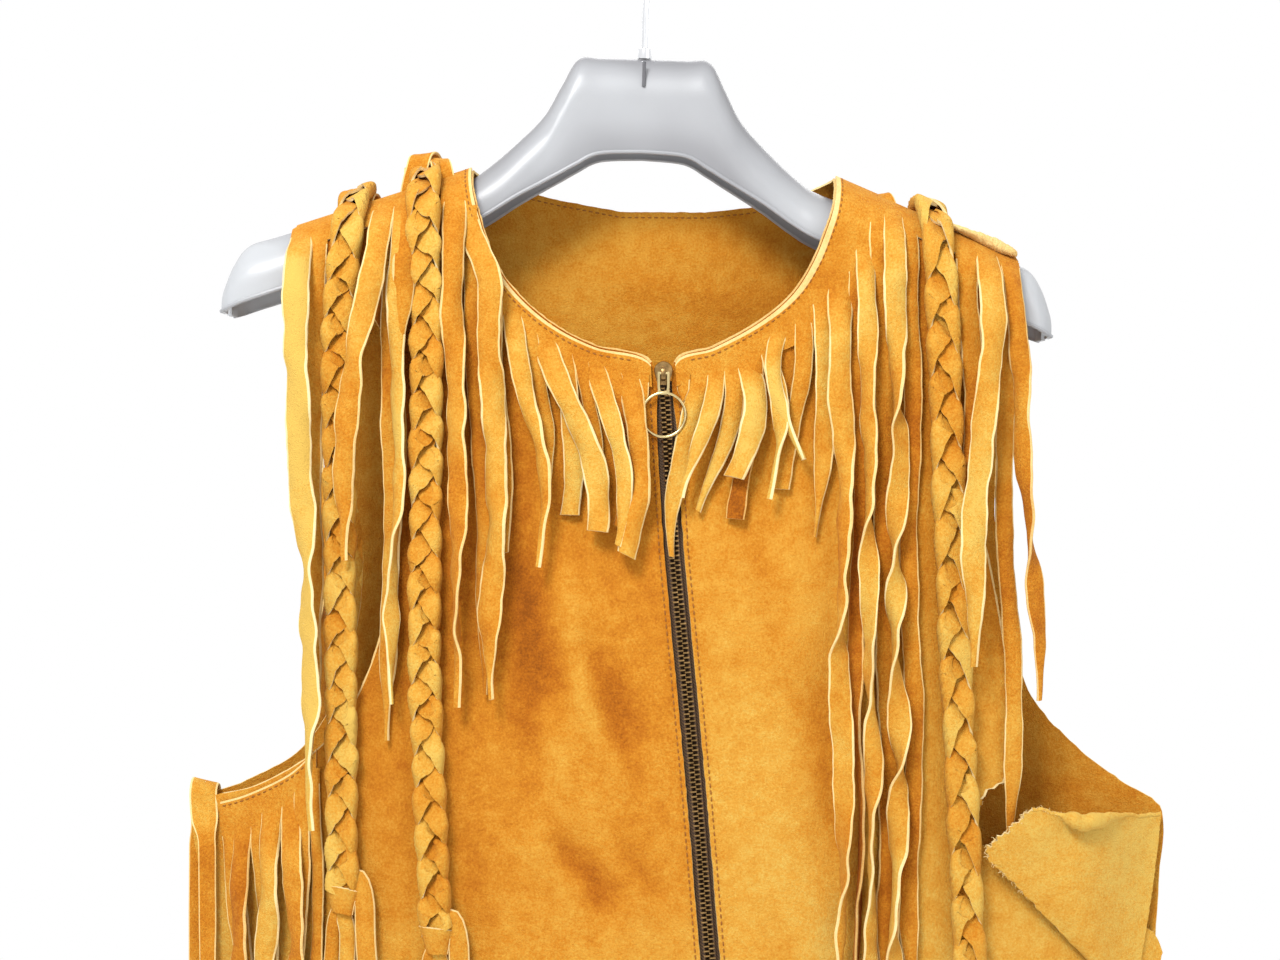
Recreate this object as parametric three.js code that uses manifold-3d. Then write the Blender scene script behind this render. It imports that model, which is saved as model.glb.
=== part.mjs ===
// A suede fringe vest on a contoured plastic hanger: two fronts joined by a zip, a back, fringed strips at
// the neck, shoulders and underarms, and plaited straps. Millimetres, +Z up, +X to the viewer's right of the
// front, -Y towards the viewer. The origin is where a rail bears in the hanger's hook.
import * as THREE from "three";
import Module from "manifold-3d";

const wasm = await Module();
wasm.setup();

const { lerp, clamp, degToRad, smoothstep } = THREE.MathUtils;
const vec = (x, y, z) => new THREE.Vector3(x, y, z);

// Driving sizes
const FRONT = -1;
const BACK = 1;
const cloth = 1.6; // thickness of the suede panels
const seam = 0.3; // free space between pieces that are sewn together
const strip = { thickness: 1.2, lift: 2.0 }; // lift: from the middle of a panel to the middle of the strip
const strand = { thickness: 1.5, step: 58, turnPerStep: 0.25, fastestTurn: 1.5 };
const layerLift = [4.6, 11.8, 18.8]; // strands hang in three layers in front of the cloth
const shoulderRound = 26; // how far below the seam the cloth has turned from flat to hanging
const shoulderDrops = [0, 2.2, 8, 16, shoulderRound];
const lateBend = 21; // one more drop at which a strand bends
const hangerTilt = degToRad(1.75);

// A table with named columns, a row for each section, strand or fold.
const table = (columns, ...rows) =>
  rows.map((row) => Object.fromEntries(columns.map((name, i) => [name, row[i]])));

// Straight interpolation of one column of a table over another.
function along(rows, key, at, wanted) {
  const rising = rows[rows.length - 1][key] > rows[0][key];
  const t = (row) => (rising ? row[key] : -row[key]);
  const x = rising ? at : -at;
  if (x <= t(rows[0])) return rows[0][wanted];
  for (let i = 1; i < rows.length; i++) {
    if (x <= t(rows[i])) {
      const share = (x - t(rows[i - 1])) / (t(rows[i]) - t(rows[i - 1]));
      return lerp(rows[i - 1][wanted], rows[i][wanted], share);
    }
  }
  return rows[rows.length - 1][wanted];
}

// Where the garment lies, in the front view
const shoulders = {
  left: { neck: { x: -91, z: -148.3 }, tip: { x: -182, z: -178 } },
  right: { neck: { x: 95, z: -152.5 }, tip: { x: 188.5, z: -193.2 } },
};
const sides = table(
  ["z", "left", "right", "depth"],
  [-250, -236, 266.3, 31],
  [-350, -236, 266.3, 35],
  [-478, -236, 266.3, 34],
  [-515, -233, 265, 33],
  [-560, -228, 262, 32],
  [-610, -222, 258, 30],
  [-668, -214, 255, 28],
  [-733, -206, 252, 26],
);
const zipLine = table(
  ["z", "x"],
  [-250, 6.5],
  [-346, 12],
  [-419, 19],
  [-470, 23.7],
  [-551, 30.3],
  [-733, 42],
);
const zipX = (z) => along(zipLine, "z", z, "x");
const zipGap = 5; // from the zip's middle to the edge of each front

function shoulderLine(x) {
  const { neck, tip } = x < 0 ? shoulders.left : shoulders.right;
  return neck.z + ((x - neck.x) * (tip.z - neck.z)) / (tip.x - neck.x);
}

// Soft creases: gain is positive for a ridge, negative for a trough.
const creases = table(
  ["side", "x", "z", "lean", "length", "width", "gain"],
  [FRONT, -56, -388, 14, 80, 13, -3.0],
  [FRONT, -38, -392, 16, 70, 12, 2.4],
  [FRONT, -18, -416, 24, 62, 9, -2.6],
  [FRONT, -32, -504, 42, 46, 8, -2.4],
  [FRONT, 92, -470, 8, 120, 14, -2.6],
  [FRONT, 150, -600, -14, 90, 15, 2.6],
  [FRONT, -150, -600, 12, 90, 16, 2.6],
  [BACK, -60, -420, 10, 110, 16, -2.6],
  [BACK, 70, -460, -12, 120, 17, -2.8],
  [BACK, 10, -560, 5, 110, 18, 2.8],
);
const hemWave = { from: -470, to: -733, height: 4.5, length: 118 };

function relief(side, x, z) {
  const t = sideShare(x, z);
  const inside = 1 - Math.abs(clamp(t, -1, 1)) ** 6;
  let height = 0;
  for (const c of creases) {
    if (c.side !== side) continue;
    const lean = degToRad(c.lean);
    const down = (c.z - z) * Math.cos(lean) + (x - c.x) * Math.sin(lean);
    const across = (x - c.x) * Math.cos(lean) - (c.z - z) * Math.sin(lean);
    height += c.gain * Math.exp(-((across / c.width) ** 2) - (down / (c.length / 2)) ** 4);
  }
  const wave = Math.sin((2 * Math.PI * (x - zipX(z) + side * 20)) / hemWave.length);
  const reach = smoothstep(hemWave.from - z, 0, hemWave.from - hemWave.to);
  return (height + wave * hemWave.height * reach) * inside;
}

// -1 at the left side seam, 1 at the right one
function sideShare(x, z) {
  const left = along(sides, "z", z, "left");
  const right = along(sides, "z", z, "right");
  return (x - (left + right) / 2) / ((right - left) / 2);
}

// From the garment's middle plane to the hanging cloth. Over the hanger it is as wide as the hanger.
function halfDepth(side, x, z) {
  const overHanger = lerp(27, 31, smoothstep(Math.abs(x), 90, 185));
  const t = Math.abs(clamp(sideShare(x, z), -1, 1));
  const hung = along(sides, "z", z, "depth") * (1 - t ** 3);
  return lerp(overHanger, hung, smoothstep(-z, 240, 390)) + relief(side, x, z);
}

// A point on a panel's middle surface moved out by lift, with the direction out of the cloth.
function onCloth(side, x, z, lift = 0) {
  const drop = clamp(shoulderLine(x) - z, 0, shoulderRound);
  const turn = Math.acos(1 - drop / shoulderRound);
  const depth = cloth / 2 + halfDepth(side, x, z);
  const out = vec(0, (side * Math.sin(turn)) / depth, Math.cos(turn) / shoulderRound).normalize();
  const point = vec(x, side * (seam / 2 + depth * Math.sin(turn)), z);
  return { point: point.addScaledVector(out, lift), out };
}

// Meshes and solids
function geometryOf(points, faces) {
  let volume = 0;
  for (const [a, b, c] of faces) {
    volume += points[a].dot(points[b].clone().cross(points[c]));
  }
  const outward = volume > 0 ? faces : faces.map(([a, b, c]) => [a, c, b]);
  const geometry = new THREE.BufferGeometry().setFromPoints(points);
  return geometry.setIndex(outward.flat());
}

// A tube through rings of corners, closed by flat ends or on itself. Opposite sides are split along the same
// diagonal, so that a thin twisted tube keeps its thickness.
function sweep(rings, loop = false) {
  const n = rings[0].length;
  const faces = [];
  const steps = loop ? rings.length : rings.length - 1;
  for (let i = 0; i < steps; i++) {
    const next = ((i + 1) % rings.length) * n;
    for (let j = 0; j < n; j++) {
      const k = (j + 1) % n;
      const [a, b, c, d] = [i * n + j, i * n + k, next + k, next + j];
      if (j < n / 2) faces.push([a, b, c], [a, c, d]);
      else faces.push([a, b, d], [b, c, d]);
    }
  }
  if (!loop) {
    const last = (rings.length - 1) * n;
    for (let j = 1; j < n - 1; j++) {
      faces.push([0, j + 1, j], [last, last + j, last + j + 1]);
    }
  }
  return geometryOf(rings.flat(), faces);
}

// A wall of even thickness about a middle surface given at the shares us and vs.
function wall(pointAt, us, vs, thickness) {
  const points = [];
  const step = 1e-3;
  for (const v of vs) {
    for (const u of us) {
      const alongU = pointAt(Math.min(u + step, 1), v).sub(pointAt(Math.max(u - step, 0), v));
      const alongV = pointAt(u, Math.min(v + step, 1)).sub(pointAt(u, Math.max(v - step, 0)));
      const offset = alongU.cross(alongV).setLength(thickness / 2);
      const middle = pointAt(u, v);
      points.push(middle.clone().add(offset), middle.sub(offset));
    }
  }
  const at = (i, j, face) => 2 * (j * us.length + i) + face;
  const faces = [];
  const quad = (a, b, c, d) => faces.push([a, b, c], [a, c, d]);
  const columns = us.length - 1;
  const rows = vs.length - 1;
  for (let j = 0; j < rows; j++) {
    for (let i = 0; i < columns; i++) {
      quad(at(i, j, 0), at(i + 1, j, 0), at(i + 1, j + 1, 0), at(i, j + 1, 0));
      quad(at(i, j, 1), at(i, j + 1, 1), at(i + 1, j + 1, 1), at(i + 1, j, 1));
    }
    quad(at(0, j, 0), at(0, j + 1, 0), at(0, j + 1, 1), at(0, j, 1));
    quad(at(columns, j, 0), at(columns, j, 1), at(columns, j + 1, 1), at(columns, j + 1, 0));
  }
  for (let i = 0; i < columns; i++) {
    quad(at(i, 0, 0), at(i, 0, 1), at(i + 1, 0, 1), at(i + 1, 0, 0));
    quad(at(i, rows, 0), at(i + 1, rows, 0), at(i + 1, rows, 1), at(i, rows, 1));
  }
  return geometryOf(points, faces);
}

function solidOf(geometry) {
  const flat = geometry.clone();
  const vertProperties = new Float32Array(flat.getAttribute("position").array);
  const triVerts = new Uint32Array(flat.index.array);
  return new wasm.Manifold(new wasm.Mesh({ numProp: 3, vertProperties, triVerts }));
}

function geometryOfSolid(solid) {
  const { vertProperties, triVerts } = solid.getMesh();
  const position = new THREE.BufferAttribute(vertProperties, 3);
  return new THREE.BufferGeometry()
    .setAttribute("position", position)
    .setIndex(new THREE.BufferAttribute(triVerts, 1));
}

const fuse = (...geometries) =>
  geometryOfSolid(geometries.map(solidOf).reduce((whole, piece) => whole.add(piece)));

const shares = (count) => Array.from({ length: count + 1 }, (_, i) => i / count);

// Fronts: rows run from the neckline or the zip (inner) to the armhole or the side seam (outer). A row with
// no inner x follows the zip. The shoulder's rows come first, at the drops in shoulderDrops.
const frontLeftOfView = {
  shoulder: shoulders.left,
  zipSide: -1,
  neckX: [-91, -90.8, -90.2, -88.8, -86.2],
  armX: [-182, -181.5, -179, -172, -161],
  rows: table(
    ["innerX", "innerZ", "outerX", "outerZ"],
    [-79, -195, -145, -219],
    [-68, -212, -131, -244],
    [-50, -228, -124.5, -272],
    [-28, -239.5, -124, -303],
    [1, -248.5, -127.5, -337],
    [null, -285, -134, -375],
    [null, -335, -143, -405],
    [null, -385, -156, -430],
    [null, -420, -174, -449],
    [null, -447, -202, -465],
    [null, -478, -236, -478],
    [null, -515, -233, -515],
    [null, -560, -228, -560],
    [null, -610, -222, -610],
    [null, -668, -214, -668],
    [null, -733, -206, -733],
  ),
};
const frontRightOfView = {
  shoulder: shoulders.right,
  zipSide: 1,
  neckX: [95, 94.8, 94.2, 92.8, 90.2],
  armX: [188.5, 188.5, 188, 186.5, 184],
  rows: table(
    ["innerX", "innerZ", "outerX", "outerZ"],
    [82, -197, 176, -256],
    [71, -214, 168, -280],
    [54, -228, 165, -305],
    [32, -240, 168, -331],
    [12, -248.5, 174, -358],
    [null, -285, 180, -390],
    [null, -335, 184, -420],
    [null, -385, 188, -452],
    [null, -430, 169, -470],
    [null, -458, 167, -492],
    [null, -490, 214, -516],
    [null, -522, 262, -545],
    [null, -560, 262, -572],
    [null, -610, 258, -614],
    [null, -668, 255, -668],
    [null, -733, 252, -733],
  ),
};

function frontRows(panel) {
  const top = shoulderDrops.map((drop, i) => ({
    innerX: panel.neckX[i],
    innerZ: shoulderLine(panel.neckX[i]) - drop,
    outerX: panel.armX[i],
    outerZ: shoulderLine(panel.armX[i]) - drop,
  }));
  const rest = panel.rows.map((row) => ({
    ...row,
    innerX: row.innerX ?? zipX(row.innerZ) + panel.zipSide * zipGap,
  }));
  return [...top, ...rest];
}

function betweenRows(rows, v) {
  const at = clamp(v, 0, 1) * (rows.length - 1);
  const i = Math.min(Math.floor(at), rows.length - 2);
  const mixed = {};
  for (const key of Object.keys(rows[0])) {
    mixed[key] = lerp(rows[i][key], rows[i + 1][key], at - i);
  }
  return mixed;
}

function front(panel) {
  const rows = frontRows(panel);
  const pointAt = (u, v) => {
    const row = betweenRows(rows, v);
    const x = lerp(row.innerX, row.outerX, u);
    return onCloth(FRONT, x, lerp(row.innerZ, row.outerZ, u)).point;
  };
  return wall(pointAt, shares(8), shares(rows.length - 1), cloth);
}

// The back: its top edge runs from shoulder tip to shoulder tip and dips at the neck.
const backTop = table(
  ["x", "z"],
  [-182, -178],
  [-159, -170.5],
  [-136, -163],
  [-113, -155.5],
  [-91, -148.3],
  [-88, -149.3],
  [-83, -150.9],
  [-74, -153.2],
  [-48, -159.5],
  [-15, -165.7],
  [30, -166],
  [54, -163.5],
  [78, -158],
  [88, -154.6],
  [95, -152.5],
  [118, -162.5],
  [141, -172.5],
  [165, -183],
  [188.5, -193.2],
);
const backRows = table(
  ["leftX", "leftZ", "rightX", "rightZ", "topShare"],
  [-187, -214, 194, -228, 0.94],
  [-183, -238, 191, -252, 0.8],
  [-175, -264, 187, -277, 0.62],
  [-163, -295, 184, -304, 0.44],
  [-154, -330, 184, -334, 0.26],
  [-153, -366, 187, -366, 0.14],
  [-158, -398, 193, -396, 0.06],
  [-168, -427, 203, -424, 0],
  [-186, -452, 224, -448, 0],
  [-212, -466, 247, -466, 0],
  [-236, -478, 266.3, -480, 0],
  [-233, -515, 265, -515, 0],
  [-228, -560, 262, -560, 0],
  [-222, -610, 258, -610, 0],
  [-214, -668, 255, -668, 0],
  [-206, -733, 252, -733, 0],
);

function back() {
  const first = backTop[0];
  const last = backTop[backTop.length - 1];
  const us = backTop.map((top) => (top.x - first.x) / (last.x - first.x));
  const topRow = (drop) => ({
    leftX: first.x - drop / 6,
    leftZ: first.z - drop,
    rightX: last.x + drop / 6,
    rightZ: last.z - drop,
    topShare: 1,
  });
  const rows = [...shoulderDrops.map(topRow), ...backRows];
  const pointAt = (u, v) => {
    const row = betweenRows(rows, v);
    const topX = lerp(first.x, last.x, u);
    const rise = along(backTop, "x", topX, "z") - lerp(first.z, last.z, u);
    const z = lerp(row.leftZ, row.rightZ, u) + row.topShare * rise;
    return onCloth(BACK, lerp(row.leftX, row.rightX, u), z).point;
  };
  return wall(pointAt, us, shares(rows.length - 1), cloth);
}

// Straps: a strap has four corners at each station, and may twist about its own line.
function strap(stations, thickness) {
  const count = stations.length;
  const rings = stations.map((station, i) => {
    const before = stations[Math.max(i - 1, 0)].point;
    const after = stations[Math.min(i + 1, count - 1)].point;
    const line = after.clone().sub(before).normalize();
    const level = station.across ?? vec(1, 0, 0);
    const across = level.clone().addScaledVector(line, -line.dot(level)).normalize();
    across.applyAxisAngle(line, station.twist);
    const through = line.clone().cross(across).setLength(thickness / 2);
    const half = across.clone().setLength(station.width / 2);
    const corner = (a, t) =>
      station.point.clone().addScaledVector(half, a).addScaledVector(through, t);
    return [corner(-1, -1), corner(1, -1), corner(1, 1), corner(-1, 1)];
  });
  return sweep(rings);
}

// How far down a strand's stations lie: close together where it turns over the shoulder.
function strandDrops(root, length, step) {
  const drops = [0];
  const turned = shoulderLine(root.x) - root.z;
  for (const drop of [...shoulderDrops.slice(0, -1), lateBend, shoulderRound]) {
    if (drop > turned + 1) drops.push(drop - turned);
  }
  const start = drops[drops.length - 1];
  const count = Math.max(2, Math.round((length - start) / step));
  for (let i = 1; i <= count; i++) drops.push(start + ((length - start) * i) / count);
  return drops;
}

const strandColumns = ["x", "z", "length", "width", "layer", "turns", "drift", "leave"];

// One strand of a fringe. turns counts half turns, drift is how far its end hangs to the right of its root,
// and leave is how far below its root it starts to stand off the cloth.
function strandStations(side, row, detail) {
  const target = layerLift[row.layer];
  const leave = row.leave ?? 6;
  return strandDrops(row, row.length, detail).map((drop) => {
    const share = drop / row.length;
    const free = smoothstep(drop, 12, 70);
    const sway = 1.3 * Math.sin((2 * Math.PI * drop) / 170 + row.x / 30) * free;
    const x = row.x + row.drift * smoothstep(share, 0, 1) + sway;
    const lift = lerp(strip.lift + 0.1, target, smoothstep(drop, leave, leave + 34));
    const wobble = (row.layer === 0 ? 0.1 : 0.3) * Math.sin(drop / 31 + row.x) * free;
    const twist = row.turns * Math.PI * smoothstep(drop, 30, row.length) + wobble;
    const width = row.width * (share > 0.999 ? 0.4 : 1);
    return { ...flatOnCloth(side, x, row.z - drop, lift, row.width), twist, width };
  });
}

// A strap's middle over the cloth, with the direction across it that keeps it level with the cloth
function flatOnCloth(side, x, z, lift, width) {
  const left = onCloth(side, x - width / 2, z, lift).point;
  const across = onCloth(side, x + width / 2, z, lift).point.sub(left);
  return { point: left.addScaledVector(across, 0.5), across: across.normalize() };
}

// A twisted strand's stations are close enough together for an eighth of a turn between them.
function strandSolid(side, row) {
  const { step, turnPerStep, fastestTurn } = strand;
  const twistStep = (row.length * turnPerStep) / (fastestTurn * Math.max(row.turns, turnPerStep));
  return strap(strandStations(side, row, Math.min(step, twistStep)), strand.thickness);
}

// The strip that a fringe hangs from, laid on the cloth between two edges given by share.
function stripSolid(side, edgeA, edgeB, us, vs) {
  const pointAt = (u, v) => {
    const a = edgeA(u);
    const b = edgeB(u);
    return onCloth(side, lerp(a.x, b.x, v), lerp(a.z, b.z, v), strip.lift).point;
  };
  return wall(pointAt, us, vs, strip.thickness);
}

const fringe = (side, backing, rows) => fuse(backing, ...rows.map((row) => strandSolid(side, row)));

// Neck fringes: the strip follows the neckline, and at the shoulder it follows the seam.
function neckEdge(panel, width) {
  const rows = frontRows(panel).slice(0, 10);
  const outward = panel.zipSide;
  const { neck, tip } = panel.shoulder;
  const slope = (neck.z - tip.z) / Math.abs(tip.x - neck.x);
  return (u) => {
    const here = betweenRows(rows, u);
    const before = betweenRows(rows, Math.max(u - 0.02, 0));
    const after = betweenRows(rows, Math.min(u + 0.02, 1));
    const dx = after.innerX - before.innerX;
    const dz = after.innerZ - before.innerZ;
    const length = Math.hypot(dx, dz);
    const ease = smoothstep(u, 0.35, 0.8);
    const nx = outward * lerp(1, Math.abs(dz / length), ease);
    const nz = -lerp(slope, Math.abs(dx / length), ease);
    return { x: here.innerX + nx * width, z: here.innerZ + nz * width - 0.8 };
  };
}

const neckStrip = { inset: 0.6, width: 12 };
const neckStrandsLeft = table(
  strandColumns,
  [-96, -182, 238, 9.5, 1, 0.5, 0],
  [-91, -184, 232, 9, 0, 0.1, 9],
  [-85.5, -190, 205, 11, 1, 0.3, 4],
  [-77, -205, 140, 9, 0, 0.1, 5],
  [-68, -217, 135, 9, 1, 0.5, 13],
  [-60, -226, 98, 9, 0, 0.1, 2],
  [-52, -232, 95, 9, 1, 0.3, 6],
  [-44, -237, 90, 8.5, 0, 0.1, 8],
  [-36, -241, 84, 9, 1, 0.3, 6],
  [-28, -244, 88, 9, 0, 0.1, 5],
  [-20, -247, 90, 9.5, 1, 0.2, -3],
  [-10.5, -250, 94, 9, 0, 0, 0],
);
const neckStrandsRight = table(
  strandColumns,
  [27, -248, 98, 9, 0, 0, -14, 40],
  [32, -246, 88, 9, 1, 0.5, -2],
  [38, -243, 92, 9, 0, 0.1, -3],
  [44, -240, 82, 9, 1, 0.3, -2],
  [52, -234, 84, 9, 0, 0.1, -6],
  [60, -226, 92, 9, 1, 0.4, 3],
  [68, -216, 96, 9, 0, 0.1, -4],
  [76, -206, 112, 9, 1, 0.8, 3],
  [84, -197, 120, 9, 0, 0.1, 1],
  [92, -188, 380, 9, 1, 3, -1],
  [99, -185, 400, 8.5, 0, 0.1, 2],
  [104, -183, 410, 9, 1, 4, 4],
);

// Shoulder fringes: the strip lies along the shoulder, just below the seam.
function shoulderEdge(fromX, toX, drop) {
  return (u) => {
    const x = lerp(fromX, toX, u);
    return { x, z: shoulderLine(x) - drop };
  };
}

const shoulderStrandRoot = 13; // drop from the seam to a strand's root
const shoulderColumns = strandColumns.filter((name) => name !== "z");
const rooted = (rows) => rows.map((row) => ({ ...row, z: shoulderLine(row.x) - shoulderStrandRoot }));

const shoulderStrands = {
  frontLeft: table(
    shoulderColumns,
    [-177.5, 296, 12.5, 2, 0.3, 4],
    [-173, 262, 8, 0, 0.1, 0],
    [-138, 172, 10.5, 2, 0.2, -17],
    [-132, 266, 8, 0, 0.1, -1],
    [-129, 250, 8, 1, 0.7, 0],
  ),
  frontRight: table(
    shoulderColumns,
    [117, 400, 11, 0, 0, 4],
    [123, 410, 9, 1, 4, 1],
    [130, 395, 8, 0, 0.1, 2],
    [163, 190, 8, 0, 0.1, 6],
    [170, 205, 11.5, 2, 0.3, -8],
    [179, 292, 8, 0, 0.1, 6],
    [183, 215, 9, 1, 1, 12],
  ),
  backLeft: table(
    shoulderColumns,
    [-179, 330, 9, 1, 1, 0],
    [-170, 300, 8.5, 0, 0.1, -1],
    [-137.5, 350, 8.5, 1, 3, 0],
    [-128.5, 380, 9, 0, 0.1, 2],
  ),
  backRight: table(
    shoulderColumns,
    [184, 320, 9, 1, 1, -1],
    [175, 340, 8.5, 0, 0.1, 1],
    [130.5, 360, 8.5, 1, 3, -1],
    [122, 340, 9, 0, 0.1, -2],
  ),
};

function shoulderFringe(side, fromX, toX, rows) {
  const top = shoulderEdge(fromX, toX, shoulderDrops[1]);
  const bottom = shoulderEdge(fromX, toX, shoulderDrops[3]);
  const bend = (shoulderDrops[2] - shoulderDrops[1]) / (shoulderDrops[3] - shoulderDrops[1]);
  return fringe(side, stripSolid(side, top, bottom, shares(3), [0, bend, 1]), rooted(rows));
}

// Underarm fringes: the strip follows the lower curve of the armhole.
function underarmEdge(points, drop) {
  return (u) => {
    const row = betweenRows(points, u);
    return { x: row.x, z: row.z - drop };
  };
}

const underarms = {
  frontLeft: {
    side: FRONT,
    edge: table(["x", "z"], [-221.5, -473.5], [-206, -468.5], [-184, -457.5], [-170, -444.5]),
    strands: table(
      strandColumns,
      [-216, -483, 190, 8.5, 0, 0.1, -1],
      [-209, -480, 205, 8.5, 1, 0.6, -1],
      [-202, -478, 198, 8.5, 0, 0.1, 0],
      [-195, -475, 210, 9, 1, 1, 1],
      [-188, -471, 200, 8.5, 0, 0.1, 1],
      [-181, -467, 205, 9, 1, 0.7, 2],
      [-174, -461, 195, 7, 0, 0.1, 2],
    ),
  },
  backLeft: {
    side: BACK,
    edge: table(["x", "z"], [-222.5, -472.5], [-208, -466.5], [-187, -454.5], [-173, -438]),
    strands: table(
      strandColumns,
      [-218, -484, 200, 8.5, 0, 0.1, -1],
      [-210, -480, 190, 8.5, 1, 0.8, -1],
      [-202, -476, 205, 8.5, 0, 0.1, -2],
      [-191, -470, 195, 9, 1, 1, 0],
      [-181, -463, 200, 8.5, 0, 0.1, 2],
    ),
  },
  backRight: {
    side: BACK,
    edge: table(["x", "z"], [258, -476.5], [244, -466.5], [225, -451.5], [207, -432]),
    strands: table(
      strandColumns,
      [253, -486, 200, 8.5, 0, 0.1, 5],
      [243, -480, 190, 8.5, 1, 0.8, 3],
      [233, -472, 205, 8.5, 0, 0.1, 2],
      [222, -463, 195, 9, 1, 1, 0],
      [212, -452, 200, 8.5, 0, 0.1, -2],
    ),
  },
};

function underarmFringe({ side, edge, strands }) {
  const top = underarmEdge(edge, 1);
  const bottom = underarmEdge(edge, 14);
  return fringe(side, stripSolid(side, top, bottom, shares(3), shares(1)), strands);
}

// Plaits: each lies over a shoulder, with an end in front and one behind. A plait is wider at its lobes,
// left and right in turn, and each end has a knot and three loose ends. drop is how far below the shoulder.
const plait = { halfWidth: 7.6, lobe: 1.3, halfDepth: 3.5, lift: 7.6, firstLobe: 30 };
const knot = { length: 15, halfWidth: 9, halfDepth: 6, corners: 6, turned: 0.1 };
const shiftColumns = ["drop", "x"];
const plaits = {
  left_outer: {
    x: -151,
    pitch: 18,
    legs: [
      { side: FRONT, shift: table(shiftColumns, [0, 0], [60, -6], [340, -5]), end: 345, tail: 96 },
      { side: BACK, shift: table(shiftColumns, [0, 0], [60, -4], [330, -2]), end: 330, tail: 100 },
    ],
  },
  left_inner: {
    x: -115.5,
    pitch: 17,
    legs: [
      { side: FRONT, shift: table(shiftColumns, [0, 0], [60, 3], [250, 2], [390, 8]), end: 376, tail: 90 },
      { side: BACK, shift: table(shiftColumns, [0, 0], [60, 14], [300, 18]), end: 300, tail: 84 },
    ],
  },
  right: {
    x: 144.5,
    pitch: 25,
    legs: [
      { side: FRONT, shift: table(shiftColumns, [0, 0], [60, 3], [200, 8], [400, 18]), end: 412, tail: 84 },
      { side: BACK, shift: table(shiftColumns, [0, 0], [60, 14], [330, 12]), end: 340, tail: 96 },
    ],
  },
};

// A point of a plait's leg: dx from its middle line and depth out from it. At the top the leg is square to
// the slope of the shoulder, and further down it is level.
function plaitPoint(x, leg, drop, dx, depth) {
  const middle = x + along(leg.shift, "drop", drop, "x");
  const slope = shoulderLine(middle + dx) - shoulderLine(middle);
  const z = shoulderLine(x) - drop + slope * (1 - smoothstep(drop, 16, 70));
  const turned = shoulderLine(middle) - shoulderLine(x);
  const height = z + turned * (1 - smoothstep(drop, 16, 70));
  return onCloth(leg.side, middle + dx, height, plait.lift + depth).point;
}

function plaitRing(x, pitch, leg, drop) {
  const beat = (2 * Math.PI * drop) / pitch;
  const left = plait.halfWidth + plait.lobe * Math.cos(beat);
  const right = plait.halfWidth - plait.lobe * Math.cos(beat);
  const half = plait.halfDepth;
  const corners = [[-left, -half], [right, -half], [right, half], [-left, half]];
  return corners.map(([dx, depth]) => plaitPoint(x, leg, drop, dx, depth));
}

function plaitSolid({ x, pitch, legs }) {
  const half = pitch / 2;
  const rings = legs.map((leg) => {
    const drops = shoulderDrops.slice(1);
    const first = Math.ceil(plait.firstLobe / half) * half;
    for (let drop = first; drop < leg.end; drop += half) drops.push(drop);
    drops.push(leg.end);
    return drops.map((drop) => plaitRing(x, pitch, leg, drop));
  });
  return sweep([...rings[0].reverse(), ...rings[1]]);
}

function knotSolid(x, leg) {
  const profile = table(["down", "size"], [-3, 0.62], [2, 1], [knot.length - 4, 1], [knot.length, 0.6]);
  const rings = profile.map(({ down, size }) =>
    shares(knot.corners).slice(1).map((share) => {
      const angle = 2 * Math.PI * share + knot.turned;
      const dx = size * knot.halfWidth * Math.cos(angle);
      return plaitPoint(x, leg, leg.end + down, dx, size * knot.halfDepth * Math.sin(angle));
    }),
  );
  return sweep(rings);
}

// lift: how far in front of the cloth a loose end hangs. drift: how far it spreads to the right.
const tailWidth = { root: 3, middle: 7.5, tip: 4 };
const tailStrands = table(
  ["x", "lift", "drift", "length", "turns"],
  [-4, 3.8, -7, 1, 0],
  [0, 8, 1, 0.82, 0.5],
  [4, 12.4, 9, 0.94, 0.3],
);

function tailSolids(x, leg) {
  const root = plaitPoint(x, leg, leg.end + knot.length - 4, 0, 0);
  return tailStrands.map((tail) => {
    const stations = shares(3).map((share) => {
      const at = root.x + tail.x + tail.drift * smoothstep(share, 0, 1);
      const lift = lerp(plait.lift, tail.lift, smoothstep(share, 0, 0.12));
      const z = root.z - share * tail.length * leg.tail;
      const width = share === 0 ? tailWidth.root : share === 1 ? tailWidth.tip : tailWidth.middle;
      return { ...flatOnCloth(leg.side, at, z, lift, tailWidth.middle), twist: tail.turns * share, width };
    });
    return strap(stations, strand.thickness);
  });
}

// A strap bent over the plait where it crosses the shoulder, standing up as a loop
const loop = { x: -114, foot: -153, rise: 15.5, reach: 8.5, width: 12 };

function loopSolid() {
  const stations = shares(6).map((share) => {
    const angle = Math.PI * share;
    const point = vec(loop.x, -loop.reach * Math.cos(angle), loop.foot + loop.rise * Math.sin(angle));
    return { point, twist: 0, width: loop.width };
  });
  return strap(stations, strand.thickness);
}

const plaitNode = ({ x, pitch, legs }, ...extras) =>
  fuse(
    plaitSolid({ x, pitch, legs }),
    ...legs.map((leg) => knotSolid(x, leg)),
    ...legs.flatMap((leg) => tailSolids(x, leg)),
    ...extras,
  );

// The torn flap at the right underarm: it hangs forward of the front, open at the top.
const flapRows = table(
  ["leftX", "leftZ", "leftLift", "midX", "midZ", "midLift", "rightX", "rightZ"],
  [191, -474, 15, 222, -479, 14, 264.5, -481.5],
  [180, -484, 14, 217, -494, 14, 262.5, -500],
  [169, -496, 11, 212, -512, 12, 259.5, -522],
  [184, -512, 9, 219, -533, 9.5, 255.5, -546],
  [202, -531, 6.5, 228, -552, 6.5, 251, -570],
  [226, -555, 4, 237, -569, 4, 246.5, -584],
);

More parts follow.
